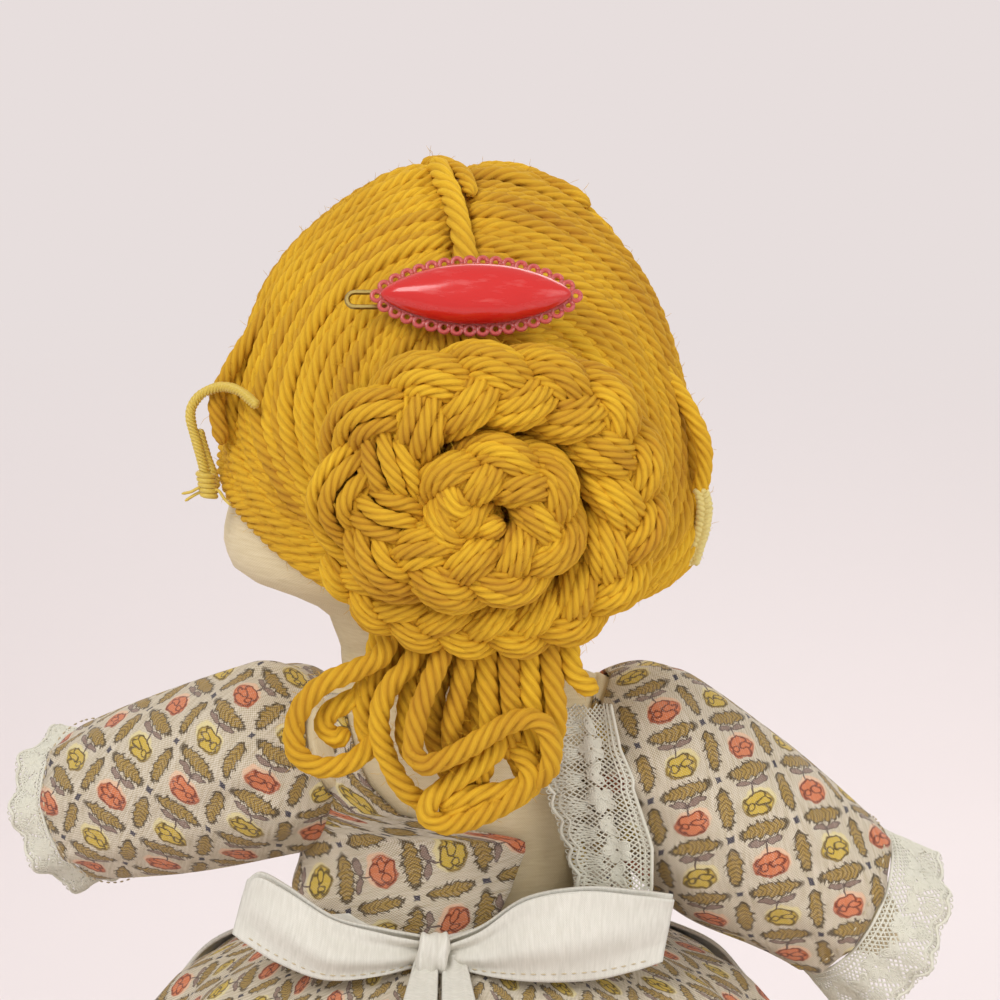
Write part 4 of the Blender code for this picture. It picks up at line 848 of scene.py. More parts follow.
def ripple(around, along, folds, seed):
    """Soft uneven folds: a few waves round that drift along the cloth."""
    drift = 0.5 * np.sin(along * 0.11 + seed) + 0.3 * np.sin(along * 0.23 + 2 * seed)
    return (0.6 * np.cos(folds * around + drift * 2 + seed)
            + 0.4 * np.cos((folds * 1.7 // 1) * around - drift * 3 + 2.1 * seed)
            * np.cos(2 * around + seed))


TORSO_SHARES = (
    (0.00, 0.30, 0.25), (0.02, 0.72, 0.62), (0.08, 0.93, 0.90), (0.20, 1.00, 1.00),
    (0.36, 0.95, 0.97), (0.50, 0.88, 0.92), (0.66, 0.92, 0.95), (0.82, 1.00, 1.00),
    (0.91, 0.99, 0.93), (0.97, 0.88, 0.72), (1.00, 0.66, 0.42),
)
TORSO_LOW, TORSO_TOP, TORSO_WIDE, TORSO_DEEP = -46.0, 66.0, 37.0, 21.0
WAIST = 8.0


def torso_halves(height):
    share = (np.asarray(height, float) - TORSO_LOW) / (TORSO_TOP - TORSO_LOW)
    halves = smooth_table(TORSO_SHARES, share)
    return halves[..., 0] * TORSO_WIDE, halves[..., 1] * TORSO_DEEP


def ring_round(wide, deep, around, height):
    return np.stack(np.broadcast_arrays(wide * np.sin(around), -deep * np.cos(around), height),
                    axis=-1)


def woven(tree, flat, threads, strength=0.22):
    """Plain weave: threads that cross, in the flat map's own millimetres."""
    turn = TURN / threads
    crossed = vectors(tree, "SINE", vectors(tree, "MULTIPLY", flat, (turn, turn, 0)))
    apart = add(tree, "SeparateXYZ", {0: crossed}).outputs
    slub = noise(tree, stretched(tree, flat, (0.25, 1.6, 1)), 1.0, 4.0)
    return maths(tree, "MULTIPLY_ADD", maths(tree, "MULTIPLY", apart["X"], apart["Y"]),
                 strength, slub)


def creased(tree, shader, flat, weave, grain, colour):
    """The colour, the soft creases and the raised threads of plain-woven cotton."""
    fold = bumped(tree, noise(tree, flat, 0.12, 2.0), 0.35, 0.002)
    feed(tree, shader, Base_Color=colour, Normal=bumped(tree, weave, 0.6, grain, Normal=fold))


def cotton_finish(name, base, deep, threads, rough=0.88, blush=()):
    """Plain-woven cotton: matt, with its threads and slubs just showing, creased softly."""
    made, tree, shader = new_material(name, base, rough, Sheen_Weight=0.12, Sheen_Roughness=0.5)
    flat = flat_place(tree)
    weave = woven(tree, flat, threads)
    # Random blotches of tone, and painted shade in the gaps between the threads
    tone_and_weave_shade = add(tree, "Math", {0: noise(tree, flat, 0.07, 3.0), 1: 0.5,
                             2: ranged(tree, weave, 0.25, 0.75, 0.75, 0.0)},
              operation="MULTIPLY_ADD", use_clamp=True)
    colour = mixed(tree, tone_and_weave_shade.outputs[0], base, deep)
    for spot in blush:
        far = vectors(tree, "DISTANCE", object_place(tree), tuple(c * MM for c in spot))
        colour = mixed(tree, ranged(tree, far, 0.002, 0.013, 0.55, 0.0), colour, "#D98C7C")
    creased(tree, shader, flat, weave, 0.00018, colour)
    return made


# Unbleached muslin: creamy, with flecks and thick threads. Its real threads lie 0.4 mm apart
MUSLIN = cotton_finish("unbleached_muslin", "#E4D5B2", "#D0BD93", 0.5)
FACE_MUSLIN = cotton_finish("unbleached_muslin_blushed", "#E4D5B2", "#D0BD93", 0.5,
                            blush=((-24, 36, 100), (24, 36, 100)))
# Bleached lawn, washed and ironed; threads 0.3 mm apart, drawn at 0.4 so that they show
WHITE = cotton_finish("white_cotton_lawn", "#E4E0D5", "#CBC7BA", 0.4, 0.82)
# Lace of spun cotton thread, a little yellowed: matt, its net open to what lies behind
LACE = cotton_finish("machine_made_cotton_lace", "#E9E6D8", "#D3CFBC", 0.35, 0.85)

# Calico, roller-printed: leafy bars make a lattice round alternate flowers, a dot at each
# corner. Its real threads lie 0.4 mm apart, drawn at 0.6 so that they show
PRINT_WIDE, PRINT_TALL = 12.2, 15.6
CALICO, tree, shader = new_material("roller_printed_calico", "#E0D5C6", 0.86,
                                    Sheen_Weight=0.12, Sheen_Roughness=0.5)
flat = flat_place(tree)
weave = woven(tree, flat, 0.6, 0.4)
# The lines of the print wander by up to 0.85 mm
wander = vectors(tree, "SUBTRACT", noise(tree, flat, 0.45, 2.0, output="Color"), (0.5, 0.5, 0.5))
inked = vectors(tree, "MULTIPLY_ADD", wander, (1.7, 1.7, 1.7), flat)
# Painted shade in the gaps between the threads
colour = mixed(tree, ranged(tree, weave, 0.1, 0.75, 1.0, 0.0), "#D8CDB9", "#A59473")

cells, combs = {}, {}
for key, shift in (("flower", (0, 0, 0)), ("dot", (0.5, 0.5, 0)), ("bar", (0, 0.5, 0)),
                   ("upright", (0.5, 0, 0))):
    placed = vectors(tree, "MULTIPLY_ADD", inked, (1 / PRINT_WIDE, 1 / PRINT_TALL, 0), shift)
    if key == "flower":
        number = vectors(tree, "DOT_PRODUCT", vectors(tree, "FLOOR", placed), (1, 1, 0))
        odd = maths(tree, "PINGPONG", number, 1.0)
    part = vectors(tree, "SUBTRACT", vectors(tree, "FRACTION", placed), (0.5, 0.5, 0))
    part = vectors(tree, "MULTIPLY", part, (PRINT_WIDE, PRINT_TALL, 0))
    if key in ("bar", "upright"):
        # A bar is a chain of lobes 2 mm long, crossed by a comb of slanting leaf lines
        apart = add(tree, "SeparateXYZ", {0: part}).outputs
        long, across = (apart[axis] for axis in ("XY" if key == "bar" else "YX"))
        swell = maths(tree, "SINE", maths(tree, "MULTIPLY", long, math.pi / 2))
        swell = maths(tree, "MULTIPLY_ADD", maths(tree, "ABSOLUTE", swell), 0.36, 0.76)
        narrow = maths(tree, "DIVIDE", across, swell)
        part = add(tree, "CombineXYZ", {0: long, 1: narrow}).outputs[0]
        slant = maths(tree, "MULTIPLY_ADD", maths(tree, "ABSOLUTE", across), 0.8, long)
        slant = maths(tree, "SINE", maths(tree, "MULTIPLY", slant, TURN))
        combs[key] = ranged(tree, slant, 0.0, 0.6)
    cells[key] = part

inks = {"halo": ("#E0B795", "#DACB92"), "petal": ("#D2784A", "#CBAC3E"),
        "line": ("#702A12", "#54400F"), "rim": ("#A24E28", "#80661A")}
inks = {ink: mixed(tree, odd, coral, yellow) for ink, (coral, yellow) in inks.items()}
inks.update(leaf="#8A7264", twig="#54403A", dot="#3A3540", edge="#4A3A1C")
for key, comb in combs.items():
    inks[key] = mixed(tree, maths(tree, "MULTIPLY", comb, 0.7), "#A5863F", "#5E4719")
# (cell, place, half sizes, turn, line, line's share of the shape, fill, softness)
BLOTS = (
    ("flower", (-0.5, 0.4), (2.8, 4.1), 0, None, 0, "halo", 0.07),
    ("flower", (-1.0, 0.0), (2.5, 3.9), 0, "rim", 0.12, "petal", 0.05),
    ("flower", (-2.0, -0.3), (1.25, 3.0), 8, "line", 0.24, "petal", 0.07),
    ("flower", (0.2, -0.4), (1.25, 2.9), -10, "line", 0.24, "petal", 0.07),
    ("flower", (-0.8, 1.4), (0.8, 2.0), 4, "line", 0.34, "petal", 0.08),
    ("flower", (-1.2, -1.6), (0.85, 1.0), 0, "line", 0.36, "petal", 0.1),
    ("flower", (2.6, -0.4), (1.5, 0.24), 14, None, 0, "twig", 0.2),
    ("flower", (3.6, 1.9), (0.72, 2.2), -7, "twig", 0.26, "leaf", 0.08),
    ("flower", (3.7, -2.2), (0.68, 2.1), 9, "twig", 0.26, "leaf", 0.08),
    ("bar", (0, 0), (4.6, 2.1), 0, None, 0, "edge", 0.05),
    ("bar", (0, 0), (4.3, 1.65), 0, "edge", 0.17, "bar", 0.05),
    ("upright", (0, 0), (6.2, 2.05), 0, None, 0, "edge", 0.05),
    ("upright", (0, 0), (5.9, 1.6), 0, "edge", 0.17, "upright", 0.05),
    ("dot", (0, 0), (0.95, 0.3), 45, None, 0, "dot", 0.2),
    ("dot", (0, 0), (0.95, 0.3), -45, None, 0, "dot", 0.2),
    ("dot", (0, 0), (0.65, 0.65), 0, None, 0, "dot", 0.1),
)
for cell, place, halves, turn, line, share, fill, soft in BLOTS:
    within = add(tree, "Mapping", {"Vector": cells[cell], "Location": (*place, 0),
                                   "Rotation": (0, 0, math.radians(turn)),
                                   "Scale": (*halves, 1)}, vector_type="TEXTURE")
    far = vectors(tree, "LENGTH", within.outputs[0])
    for ink, limit in ((line, 1.0), (fill, 1.0 - share)):
        if ink is None:
            continue
        shown = ranged(tree, far, limit + soft, limit - soft, 0.0, 0.93)
        if line is None and cell in combs:
            # The spikes that stand out along a bar's edge
            shown = maths(tree, "MULTIPLY", shown, combs[cell])
        colour = mixed(tree, shown, colour, inks[ink])
# Ink lies unevenly on the threads
colour = mixed(tree, ranged(tree, weave, 0.6, 0.95, 0.0, 0.4), colour, "#E3D9CC")
creased(tree, shader, flat, weave, 0.0002, colour)

# Pressed wool felt: matt, mottled, with a fibrous nap
FELT = plain_finish("black_wool_felt", "#26221F", 0.95, 0.0004, 90, "#3A342F",
                    Sheen_Weight=0.4)
# Six-strand embroidery cotton, mercerised to a soft shine
BROWN_FLOSS, RED_FLOSS, PALE_FLOSS = (
    plain_finish(name, base, rough, 0.0001, 220, deep, Sheen_Weight=0.2)
    for name, base, rough, deep in (("brown_embroidery_cotton", "#5A3A26", 0.5, "#43291A"),
                                    ("red_embroidery_cotton", "#B5403A", 0.5, "#963029"),
                                    ("ecru_sewing_cotton", "#CDBE9E", 0.6, "#B8A784")))


def stuffed(name, surface, first, last, rows, columns, body, node, kind=MUSLIN):
    """A muslin skin, padded with polyester fibre."""
    piece = cloth(name, surface, (first, 0), (last, TURN), rows, columns, kind, 0.4)
    place_piece(piece, body, "muslin", node)


# The cloth is drawn in under the jaw: share of the head's width left, by height
JAW_TUCK = ((71, 0.97), (73.5, 0.87), (77.5, 0.74), (80.5, 0.745), (83.5, 0.83), (86.2, 0.96),
            (89, 1.02), (96, 1.026), (101, 1.01), (105, 1.0), (180, 1.0))
NECK_WIDE, NECK_DEEP, NECK_LEVEL = 26.5, 16.5, 66.0


def stuffed_head(along, around):
    """From the neck's rounded end to the crown, with the give of hand stuffing."""
    neck = np.clip(along, 0, 1)
    turn = math.pi / 2 * (0.06 + 0.94 * neck)
    up = np.clip(along - 1, 0, 1)
    level = JAW + (CROWN - JAW) * (1 - (1 - up) ** 1.25)
    wide, deep = head_halves(level)
    tuck = np.interp(level, *zip(*JAW_TUCK))
    wide, deep = wide * tuck, deep * (0.45 + 0.55 * tuck)
    in_neck = along < 1
    wide = np.where(in_neck, NECK_WIDE * np.sin(turn), wide)
    deep = np.where(in_neck, NECK_DEEP * np.sin(turn), deep)
    level = np.where(in_neck, NECK_LEVEL - NECK_DEEP * np.cos(turn) + 5 * neck ** 6, level)
    dent = 0.35 * np.sin(3 * around + 2) * np.sin(level * 0.12) + 0.25 * np.sin(7 * around)
    return ring_round(wide + dent * up, deep + dent * up, around, level)


stuffed("stuffed_head", stuffed_head, 0, 2, 90, 120, "head", "head", FACE_MUSLIN)


def stuffed_torso(along, around):
    level = TORSO_LOW + (TORSO_TOP - TORSO_LOW) * (0.5 - 0.5 * np.cos(math.pi * along))
    wide, deep = torso_halves(level)
    pull = 0.5 * np.sin(9 * around + 1) * np.exp(-((along - 0.9) / 0.1) ** 2)
    return ring_round(wide + pull, deep + pull, around, level)


stuffed("stuffed_torso", stuffed_torso, 0, 1, 60, 96, "body", "torso")

# Arms, in each shoulder's own frame: x along the arm, y forward
ARM_LONG, ARM_STRAIGHT, ARM_BEND, ARM_TURN = 69.0, 26.0, 150.0, math.radians(20)
SLEEVE = 53.0
# How far each cuff's lace stands out; the left one is crushed short
CUFFS = {"left": 8.0, "right": 13.5}
SLEEVE_ENDS = {"left": 17.4, "right": 18.5}
# How far the loose stuffing lets each arm sag at its wrist
SAGS = {"left": 1.0, "right": 7.5}
SHOULDERS = {"left": (-1, (-41, 0, 45), 17, 28), "right": (1, (41, 0, 45), 30, 6)}


def along_arm(along):
    """The arm's middle line, and the way across it that lies forward."""
    turn = np.clip((along - ARM_STRAIGHT) / ARM_BEND, 0, ARM_TURN)
    rest = np.maximum(along - ARM_STRAIGHT - ARM_BEND * turn, 0)
    x = np.where(along < ARM_STRAIGHT, along, ARM_STRAIGHT + ARM_BEND * np.sin(turn)
                 + rest * np.cos(turn))
    y = np.where(along < ARM_STRAIGHT, 0, ARM_BEND * (1 - np.cos(turn)) + rest * np.sin(turn))
    return x, y, turn


def from_arm(side, along, around, wide, tall=None):
    """Places round the arm's middle line, in the doll's frame."""
    sign, shoulder, lowered, forward = SHOULDERS[side]
    tall = wide if tall is None else tall
    x, y, turn = along_arm(along)
    x = x - np.sin(turn) * wide * np.sin(around)
    y = y + np.cos(turn) * wide * np.sin(around)
    local = np.stack(np.broadcast_arrays(sign * x, y, tall * np.cos(around)), axis=-1)
    turned = np.array(Euler((0, sign * math.radians(lowered),
                             sign * math.radians(forward))).to_matrix())
    points = local @ turned.T + np.array(shoulder, float)
    points[..., 2] -= SAGS[side] * np.clip(along / SLEEVE, 0, 1.4) ** 1.5
    return points


ARM_SHARES = ((0.0, 1.0), (0.30, 0.98), (0.52, 0.90), (0.64, 0.70), (0.78, 0.84),
              (0.90, 0.78), (0.97, 0.50), (1.0, 0.06))
# Radius of the ball that each arm and each sleeve starts from at the shoulder
ARM_ROUND, SLEEVE_ROUND = 21.6, 21.0


def arm_surface(side, along, around):
    root = np.clip(along, 0, 1) * math.radians(34)
    out = np.clip(along - 1, 0, 1)
    wide = smooth_table(ARM_SHARES, out)[..., 0] * 12.5
    first = along < 1
    radius = np.where(first, ARM_ROUND * np.sin(root), wide)
    place = np.where(first, -ARM_ROUND * np.cos(root), out * ARM_LONG)
    tall = radius * (1 - 0.25 * np.clip((out - 0.6) / 0.2, 0, 1))
    return from_arm(side, place, around, radius, tall)


def sleeve_surface(side, seed, along, around):
    root = np.clip(along, 0, 1)
    lean = math.radians(38) + root * math.radians(52)
    down = np.clip(along - 1, 0, 1)
    first = along < 1
    radius = np.where(first, SLEEVE_ROUND * np.sin(lean),
                      SLEEVE_ROUND + (SLEEVE_ENDS[side] - SLEEVE_ROUND) * down ** 2)
    place = np.where(first, -SLEEVE_ROUND * np.cos(lean), down * SLEEVE)
    gathered = 1.1 * np.exp(-((along - 0.75) / 0.35) ** 2) + 1.0 * np.clip(down - 0.4, 0, 1)
    fold = ripple(around, along * 20, 9, seed) * (gathered * 0.8 + 0.35)
    # The cloth hangs below the arm, more on the right
    hang = 0.5 * SAGS[side] * np.exp(-((down - 0.45) / 0.3) ** 2) * (
        0.5 - 0.5 * np.cos(around)) ** 2
    return from_arm(side, place, around, radius + fold + hang)


def cuff_surface(side, seed, along, around):
    flare = 0.2 * CUFFS[side]
    radius = SLEEVE_ENDS[side] - 0.2 + flare * along + 1.2 * along * np.cos(9 * around + seed)
    return from_arm(side, SLEEVE + 0.6 + CUFFS[side] * along, around, radius)


SIDES = ("left", "right")
for number, side in enumerate(SIDES):
    body = side + "_arm"
    stuffed(side + "_stuffed_arm", partial(arm_surface, side), 0.05, 2, 50, 40, body, body)
    sleeve = cloth(side + "_calico_sleeve", partial(sleeve_surface, side, number * 2.0 + 1),
                   (0, 0), (2, TURN), 60, 120, CALICO, 0.9, 45)
    place_piece(sleeve, body, "calico", side + "_sleeve")

# Bodice, open down the back; heights and places across of its two back edges
BODICE_OUT, BODICE_LOW, BODICE_TALL = 1.75, 8.4, 54.0
LEFT_EDGE = ((8.4, 2.5), (13, 7), (20, 10.5), (29.3, 13.8), (31.2, 13.8), (32, 11),
             (36.8, -13.2), (43.6, -20), (49, -22.5), (62.5, -26))
RIGHT_EDGE = ((8.4, 23), (22, 24.5), (41, 26.6), (62.5, 29.6))


def bodice_surface(along, around):
    """Along runs up from the waist; around from the left back edge round to the right one."""
    level = BODICE_LOW + BODICE_TALL * along
    first, last = (np.interp(level, *zip(*edge)) for edge in (LEFT_EDGE, RIGHT_EDGE))
    wide, deep = torso_halves(level)
    lift = 1.8 * np.clip(1 - around / 0.12, 0, 1) ** 2 * np.clip((0.5 - along) * 8, 0, 1)
    wide, deep = wide + BODICE_OUT, deep + BODICE_OUT
    start = TURN + np.arcsin(np.clip(first / wide, -1, 1))
    end = np.arcsin(np.clip(last / wide, -1, 1))
    turn = start + (end - start) * around
    front = 0.5 - 0.5 * np.cos(turn)
    level = level - 5 * front * along
    blouse = 3.6 * np.exp(-((level - 15.5) / 6) ** 2) * (0.25 + 0.75 * np.sin(turn) ** 2)
    fold = 0.5 * ripple(turn, level, 7, 3) * (0.3 + np.exp(-((level - 12) / 9) ** 2))
    fold = fold + lift + np.maximum(blouse, 0)
    return ring_round(wide + fold, deep + fold, turn, level)


bodice = cloth("calico_bodice", bodice_surface, (0, 0), (1, 1), 90, 150, CALICO, 0.9, 20)
place_piece(bodice, "body", "calico", "bodice")


def lace_surface(along, around):
    """The lace down the right back edge: along from the waist up, around across it."""
    level = 12 + 50 * along
    start = np.interp(level, (12, 21, 33, 43, 52, 62), (27, 26, 22.5, 19.1, 19.5, 22))
    width = np.interp(level, (12, 20, 30, 45, 62), (11, 16, 19, 19, 11))
    across = start + width * around
    wide, deep = torso_halves(level)
    depth = (deep + 4) * np.sqrt(np.clip(1 - (across / (wide + 9)) ** 2, 0.1, 1))
    depth = -np.maximum(depth, 22.6) - 0.8 - 0.5 * np.cos(across * 1.1 + level * 0.12)
    return np.stack((across, depth, level), axis=-1)


# Share of the skirt's length below the waist, and of its spread there
SKIRT_SHARES = ((0.00, 0.00), (0.03, 0.18), (0.07, 0.38), (0.13, 0.53), (0.30, 0.70),
                (0.55, 0.85), (0.80, 0.95), (1.00, 1.00))
HEM, HEM_WIDE, HEM_DEEP = -152.0, 98.0, 86.0
SKIRT_OUT, SKIRT_FOLDS, FOLD_DEEP = 1.55, 12, 4.5


def skirt_halves(level):
    spread = smooth_table(SKIRT_SHARES, (WAIST - level) / (WAIST - HEM))[..., 0]
    wide, deep = (half + SKIRT_OUT for half in torso_halves(np.full_like(level, WAIST)))
    return wide + (HEM_WIDE - wide) * spread, deep + (HEM_DEEP - deep) * spread, spread


def skirt_surface(along, around, out=0.0):
    level = WAIST - 0.6 - along * (WAIST - HEM)
    wide, deep, spread = skirt_halves(level)
    fold = FOLD_DEEP * spread * np.cos(SKIRT_FOLDS * around) + np.sqrt(np.clip(spread, 0, 1)) * (
        np.cos(31 * around + 2) * np.exp(-along * 2) + 0.6 * np.cos(5 * around + 3 * along))
    return ring_round(wide + fold + out, deep + fold + out, around, level)


skirt = cloth("calico_skirt", skirt_surface, (0, 0), (1, TURN), 90, 300, CALICO, 0.9, 45)
place_piece(skirt, "body", "calico", "skirt")


def band_surface(along, around):
    """The band sinks and crumples at the back, most of all left of the knot."""
    turn = np.where(around > math.pi, around - TURN, around)
    sunk = 4 * (0.5 + 0.5 * np.cos(turn)) ** 2
    crushed = 8.5 * np.exp(-((turn + 0.3) / 0.6) ** 2)
    level = 10.4 - sunk + (11 - crushed) * along
    wide, deep = torso_halves(level)
    fold = 0.35 * np.sin(level * 1.3 + 2 * np.sin(3 * around))
    return ring_round(wide + 3.35 + fold, deep + 3.35 + fold, around, level)


band = cloth("apron_waistband", band_surface, (0, 0), (1, TURN), 10, 120, WHITE, 1.0)
place_piece(band, "body", "white_cotton", "apron_band")


def apron_surface(along, around):
    """In front, from the band down over the skirt."""
    turn = math.pi + math.radians(64) * around
    reach = np.clip((along - 0.02) / 0.98, 0, 1) ** 1.4
    level = 9.0 - reach * (9 + 118)
    wide, deep, spread = skirt_halves(np.minimum(level, WAIST))
    fold = (FOLD_DEEP * spread * np.cos(SKIRT_FOLDS * turn)
            + 0.8 * np.cos(40 * turn) * np.exp(-along * 3))
    return ring_round(wide + fold + 3.3, deep + fold + 3.3, turn, level)


apron = cloth("apron_front", apron_surface, (0, -1), (1, 1), 70, 130, WHITE, 0.9)
place_piece(apron, "body", "white_cotton", "apron_skirt")

# Apron bow: rows are routes along the ribbon's upper and lower edges
BOW_ROUTES = {
    "left": (((-8.5, -31, 11.5), (-17, -34, 14), (-27, -35, 17), (-37, -33, 23),
              (-43, -31, 25.5), (-46, -29.5, 23.5)),
             ((-8.5, -31, 5.5), (-18, -35, 4.5), (-29, -37, 4.5), (-39, -35, 7.5),
              (-46, -32, 11), (-49, -29.5, 12.5))),
    "right": (((-2.6, -31, 10.5), (5, -34, 14.5), (14.5, -36, 21.5), (27, -35, 23.5),
               (39, -33, 22), (46.5, -31, 20.5)),
              ((-2.6, -31, 5.5), (7, -35, 4.5), (18, -37, 4), (29, -36, 4), (38, -34, 5.5),
               (44, -32, 7))),
}


def between_edges(top, low, bulge, seed, along, around):
    top, low = smooth_path(top, count=60), smooth_path(low, count=60)
    place = (along * 59).astype(int).clip(0, 59)
    points = top[place] * (1 - around[..., None]) + low[place] * around[..., None]
    points[..., 1] -= (bulge * np.sin(math.pi * around) * np.sin(math.pi * along)
                       + 0.8 * np.sin(11 * around + 2 * along + seed) * (1 - 0.75 * along)
                       + 0.5 * np.sin(4 * around + 7 * along + 2 * seed))
    return points


for side in SIDES:
    routes = np.array(BOW_ROUTES[side], float)
    for part, back, bulge, seed in (("front", 0, 2.2, 1), ("back", 3.4, -1.0, 2)):
        loop = cloth("bow_%s_%s" % (side, part),
                     partial(between_edges, *routes + (0, back, 0), bulge, seed), (0, 0), (1, 1),
                     60, 30, WHITE, 0.7)
        nodes = ["bow_%s_loop" % side] if part == "front" else []
        place_piece(loop, "body", "white_cotton", *nodes)


def tail_surface(side, along, around):
    sign = -1 if side == "left" else 1
    level = 8.5 - 62 * along
    deep = skirt_halves(np.minimum(level, WAIST))[1]
    middle = -4 + sign * (2.7 + 13 * along)
    half = 2.2 + 4.3 * np.clip(3 * along, 0, 1)
    x = middle + half * around
    depth = np.maximum(deep + 7.5, 31.5) + 0.7 * np.cos(5 * around + 8 * along)
    return np.stack((x, -depth, level), axis=-1)


for side in SIDES:
    tail = cloth("bow_%s_end" % side, partial(tail_surface, side), (0, -1), (1, 1), 60, 20,
                 WHITE, 0.8)
    place_piece(tail, "body", "white_cotton", "bow_%s_tail" % side)


def knot_surface(along, around):
    """The ribbon wrapped once round the loops, creased by the pull."""
    x = 2 * along - 1
    reach = (1 - np.abs(x) ** 7) ** 0.5
    crease = 0.3 * np.cos(2.5 * math.pi * x) + 0.25 * np.sin(3 * around + 4 * x)
    return np.stack(np.broadcast_arrays(
        -5.6 + 3.5 * x + 0.4 * np.sin(around), -32.6 - (3.0 + crease) * reach * np.cos(around),
        8.8 + (4.7 + crease) * reach * np.sin(around)), axis=-1)


def closed_solid(name, surface, first, last, rows, columns, kind):
    """A solid piece such as the knot or a shoe, closed at both ends."""
    shape = Shape()
    points, flat = rows_between(surface, (first, 0), (last, TURN), rows, columns, True)
    shape.grid(points, True, flat, caps=True)
    return shape.piece(name, kind, outward=True)


knot = closed_solid("apron_knot", knot_surface, 0.004, 0.996, 40, 48, WHITE)
place_piece(knot, "body", "white_cotton", "bow_knot")

# Legs, pantaloons and shoes
HIPS = {"left": -20.0, "right": 20.0}
HIP_LEVEL, LEG_LONG, PANTALOON_LONG = -42.0, 180.0, 138.0
LEG_SHARES = ((0.00, 1.0), (0.15, 1.0), (0.45, 0.94), (0.62, 0.86), (0.80, 0.82), (1.00, 0.66))
SHOE_SHARES = ((0.0, 0.86, 0.80), (0.06, 0.96, 0.93), (0.12, 1.0, 1.0), (0.35, 0.97, 0.98),
               (0.60, 0.74, 0.88), (0.80, 0.52, 0.80), (1.0, 0.46, 0.76))


def leg_surface(middle, along, around):
    top = np.clip(along, 0, 1) * math.pi / 2
    down = np.clip(along - 1, 0, 1)
    wide = smooth_table(LEG_SHARES, down)[..., 0]
    first = along < 1
    half_wide = np.where(first, 17.6 * np.sin(top), wide * 15.5)
    half_deep = np.where(first, 20.4 * np.sin(top), wide * 17)
    level = np.where(first, HIP_LEVEL + 20.4 * np.cos(top), HIP_LEVEL - down * LEG_LONG)
    return ring_round(half_wide, half_deep, around, level) + (middle, 0, 0)


def pantaloon_surface(middle, seed, along, around):
    top = (0.35 + 0.65 * np.clip(along, 0, 1)) * math.pi / 2
    down = np.clip(along - 1, 0, 1)
    first = along < 1
    half_wide = np.where(first, 18.6 * np.sin(top), 18.6 + 0.4 * down)
    half_deep = np.where(first, 21.4 * np.sin(top), 21.4 + 3 * down)
    level = np.where(first, HIP_LEVEL + 21.4 * np.cos(top),
                     HIP_LEVEL - down * PANTALOON_LONG)
    fold = 0.45 * ripple(around, level, 7, seed)
    return ring_round(half_wide + np.minimum(fold, 0.3), half_deep + fold, around,
                      level) + (middle, 0, 0)


def hem_surface(middle, along, around):
    level = -180.4 - 14 * along
    wide = 18.8 + 0.2 * along
    deep = 24.2 + 2.2 * along
    fold = 0.4 * along * np.cos(11 * around)
    return ring_round(wide + np.minimum(fold, 0), deep + fold, around, level) + (middle, 0, 0)


def shoe_surface(middle, along, around):
    halves = smooth_table(SHOE_SHARES, along)
    long, wide = halves[..., 0] * 29, halves[..., 1] * 14.5
    forward = long - 20 * (0.6 + 0.4 * halves[..., 0])
    level = -246 + along * 23.6
    return ring_round(wide, long, around, level) + np.stack(
        np.broadcast_arrays(middle, forward, 0), axis=-1)


for number, (side, middle) in enumerate(HIPS.items()):
    body = side + "_leg"
    stuffed(side + "_stuffed_leg", partial(leg_surface, middle), 0.05, 2, 50, 40, body, body)
    cotton = cloth(side + "_pantaloon", partial(pantaloon_surface, middle, number + 1), (0, 0),
                   (2, TURN), 60, 90, WHITE, 0.8)
    place_piece(cotton, body, "white_cotton",
                                              side + "_pantaloon_leg")
    shoe = closed_solid(side + "_felt_shoe", partial(shoe_surface, middle), 0, 1, 40, 60, FELT)
    place_piece(shoe, body, "felt", side + "_shoe")


# Lace


SCALLOP, NET_PITCH = 6.0, 1.2


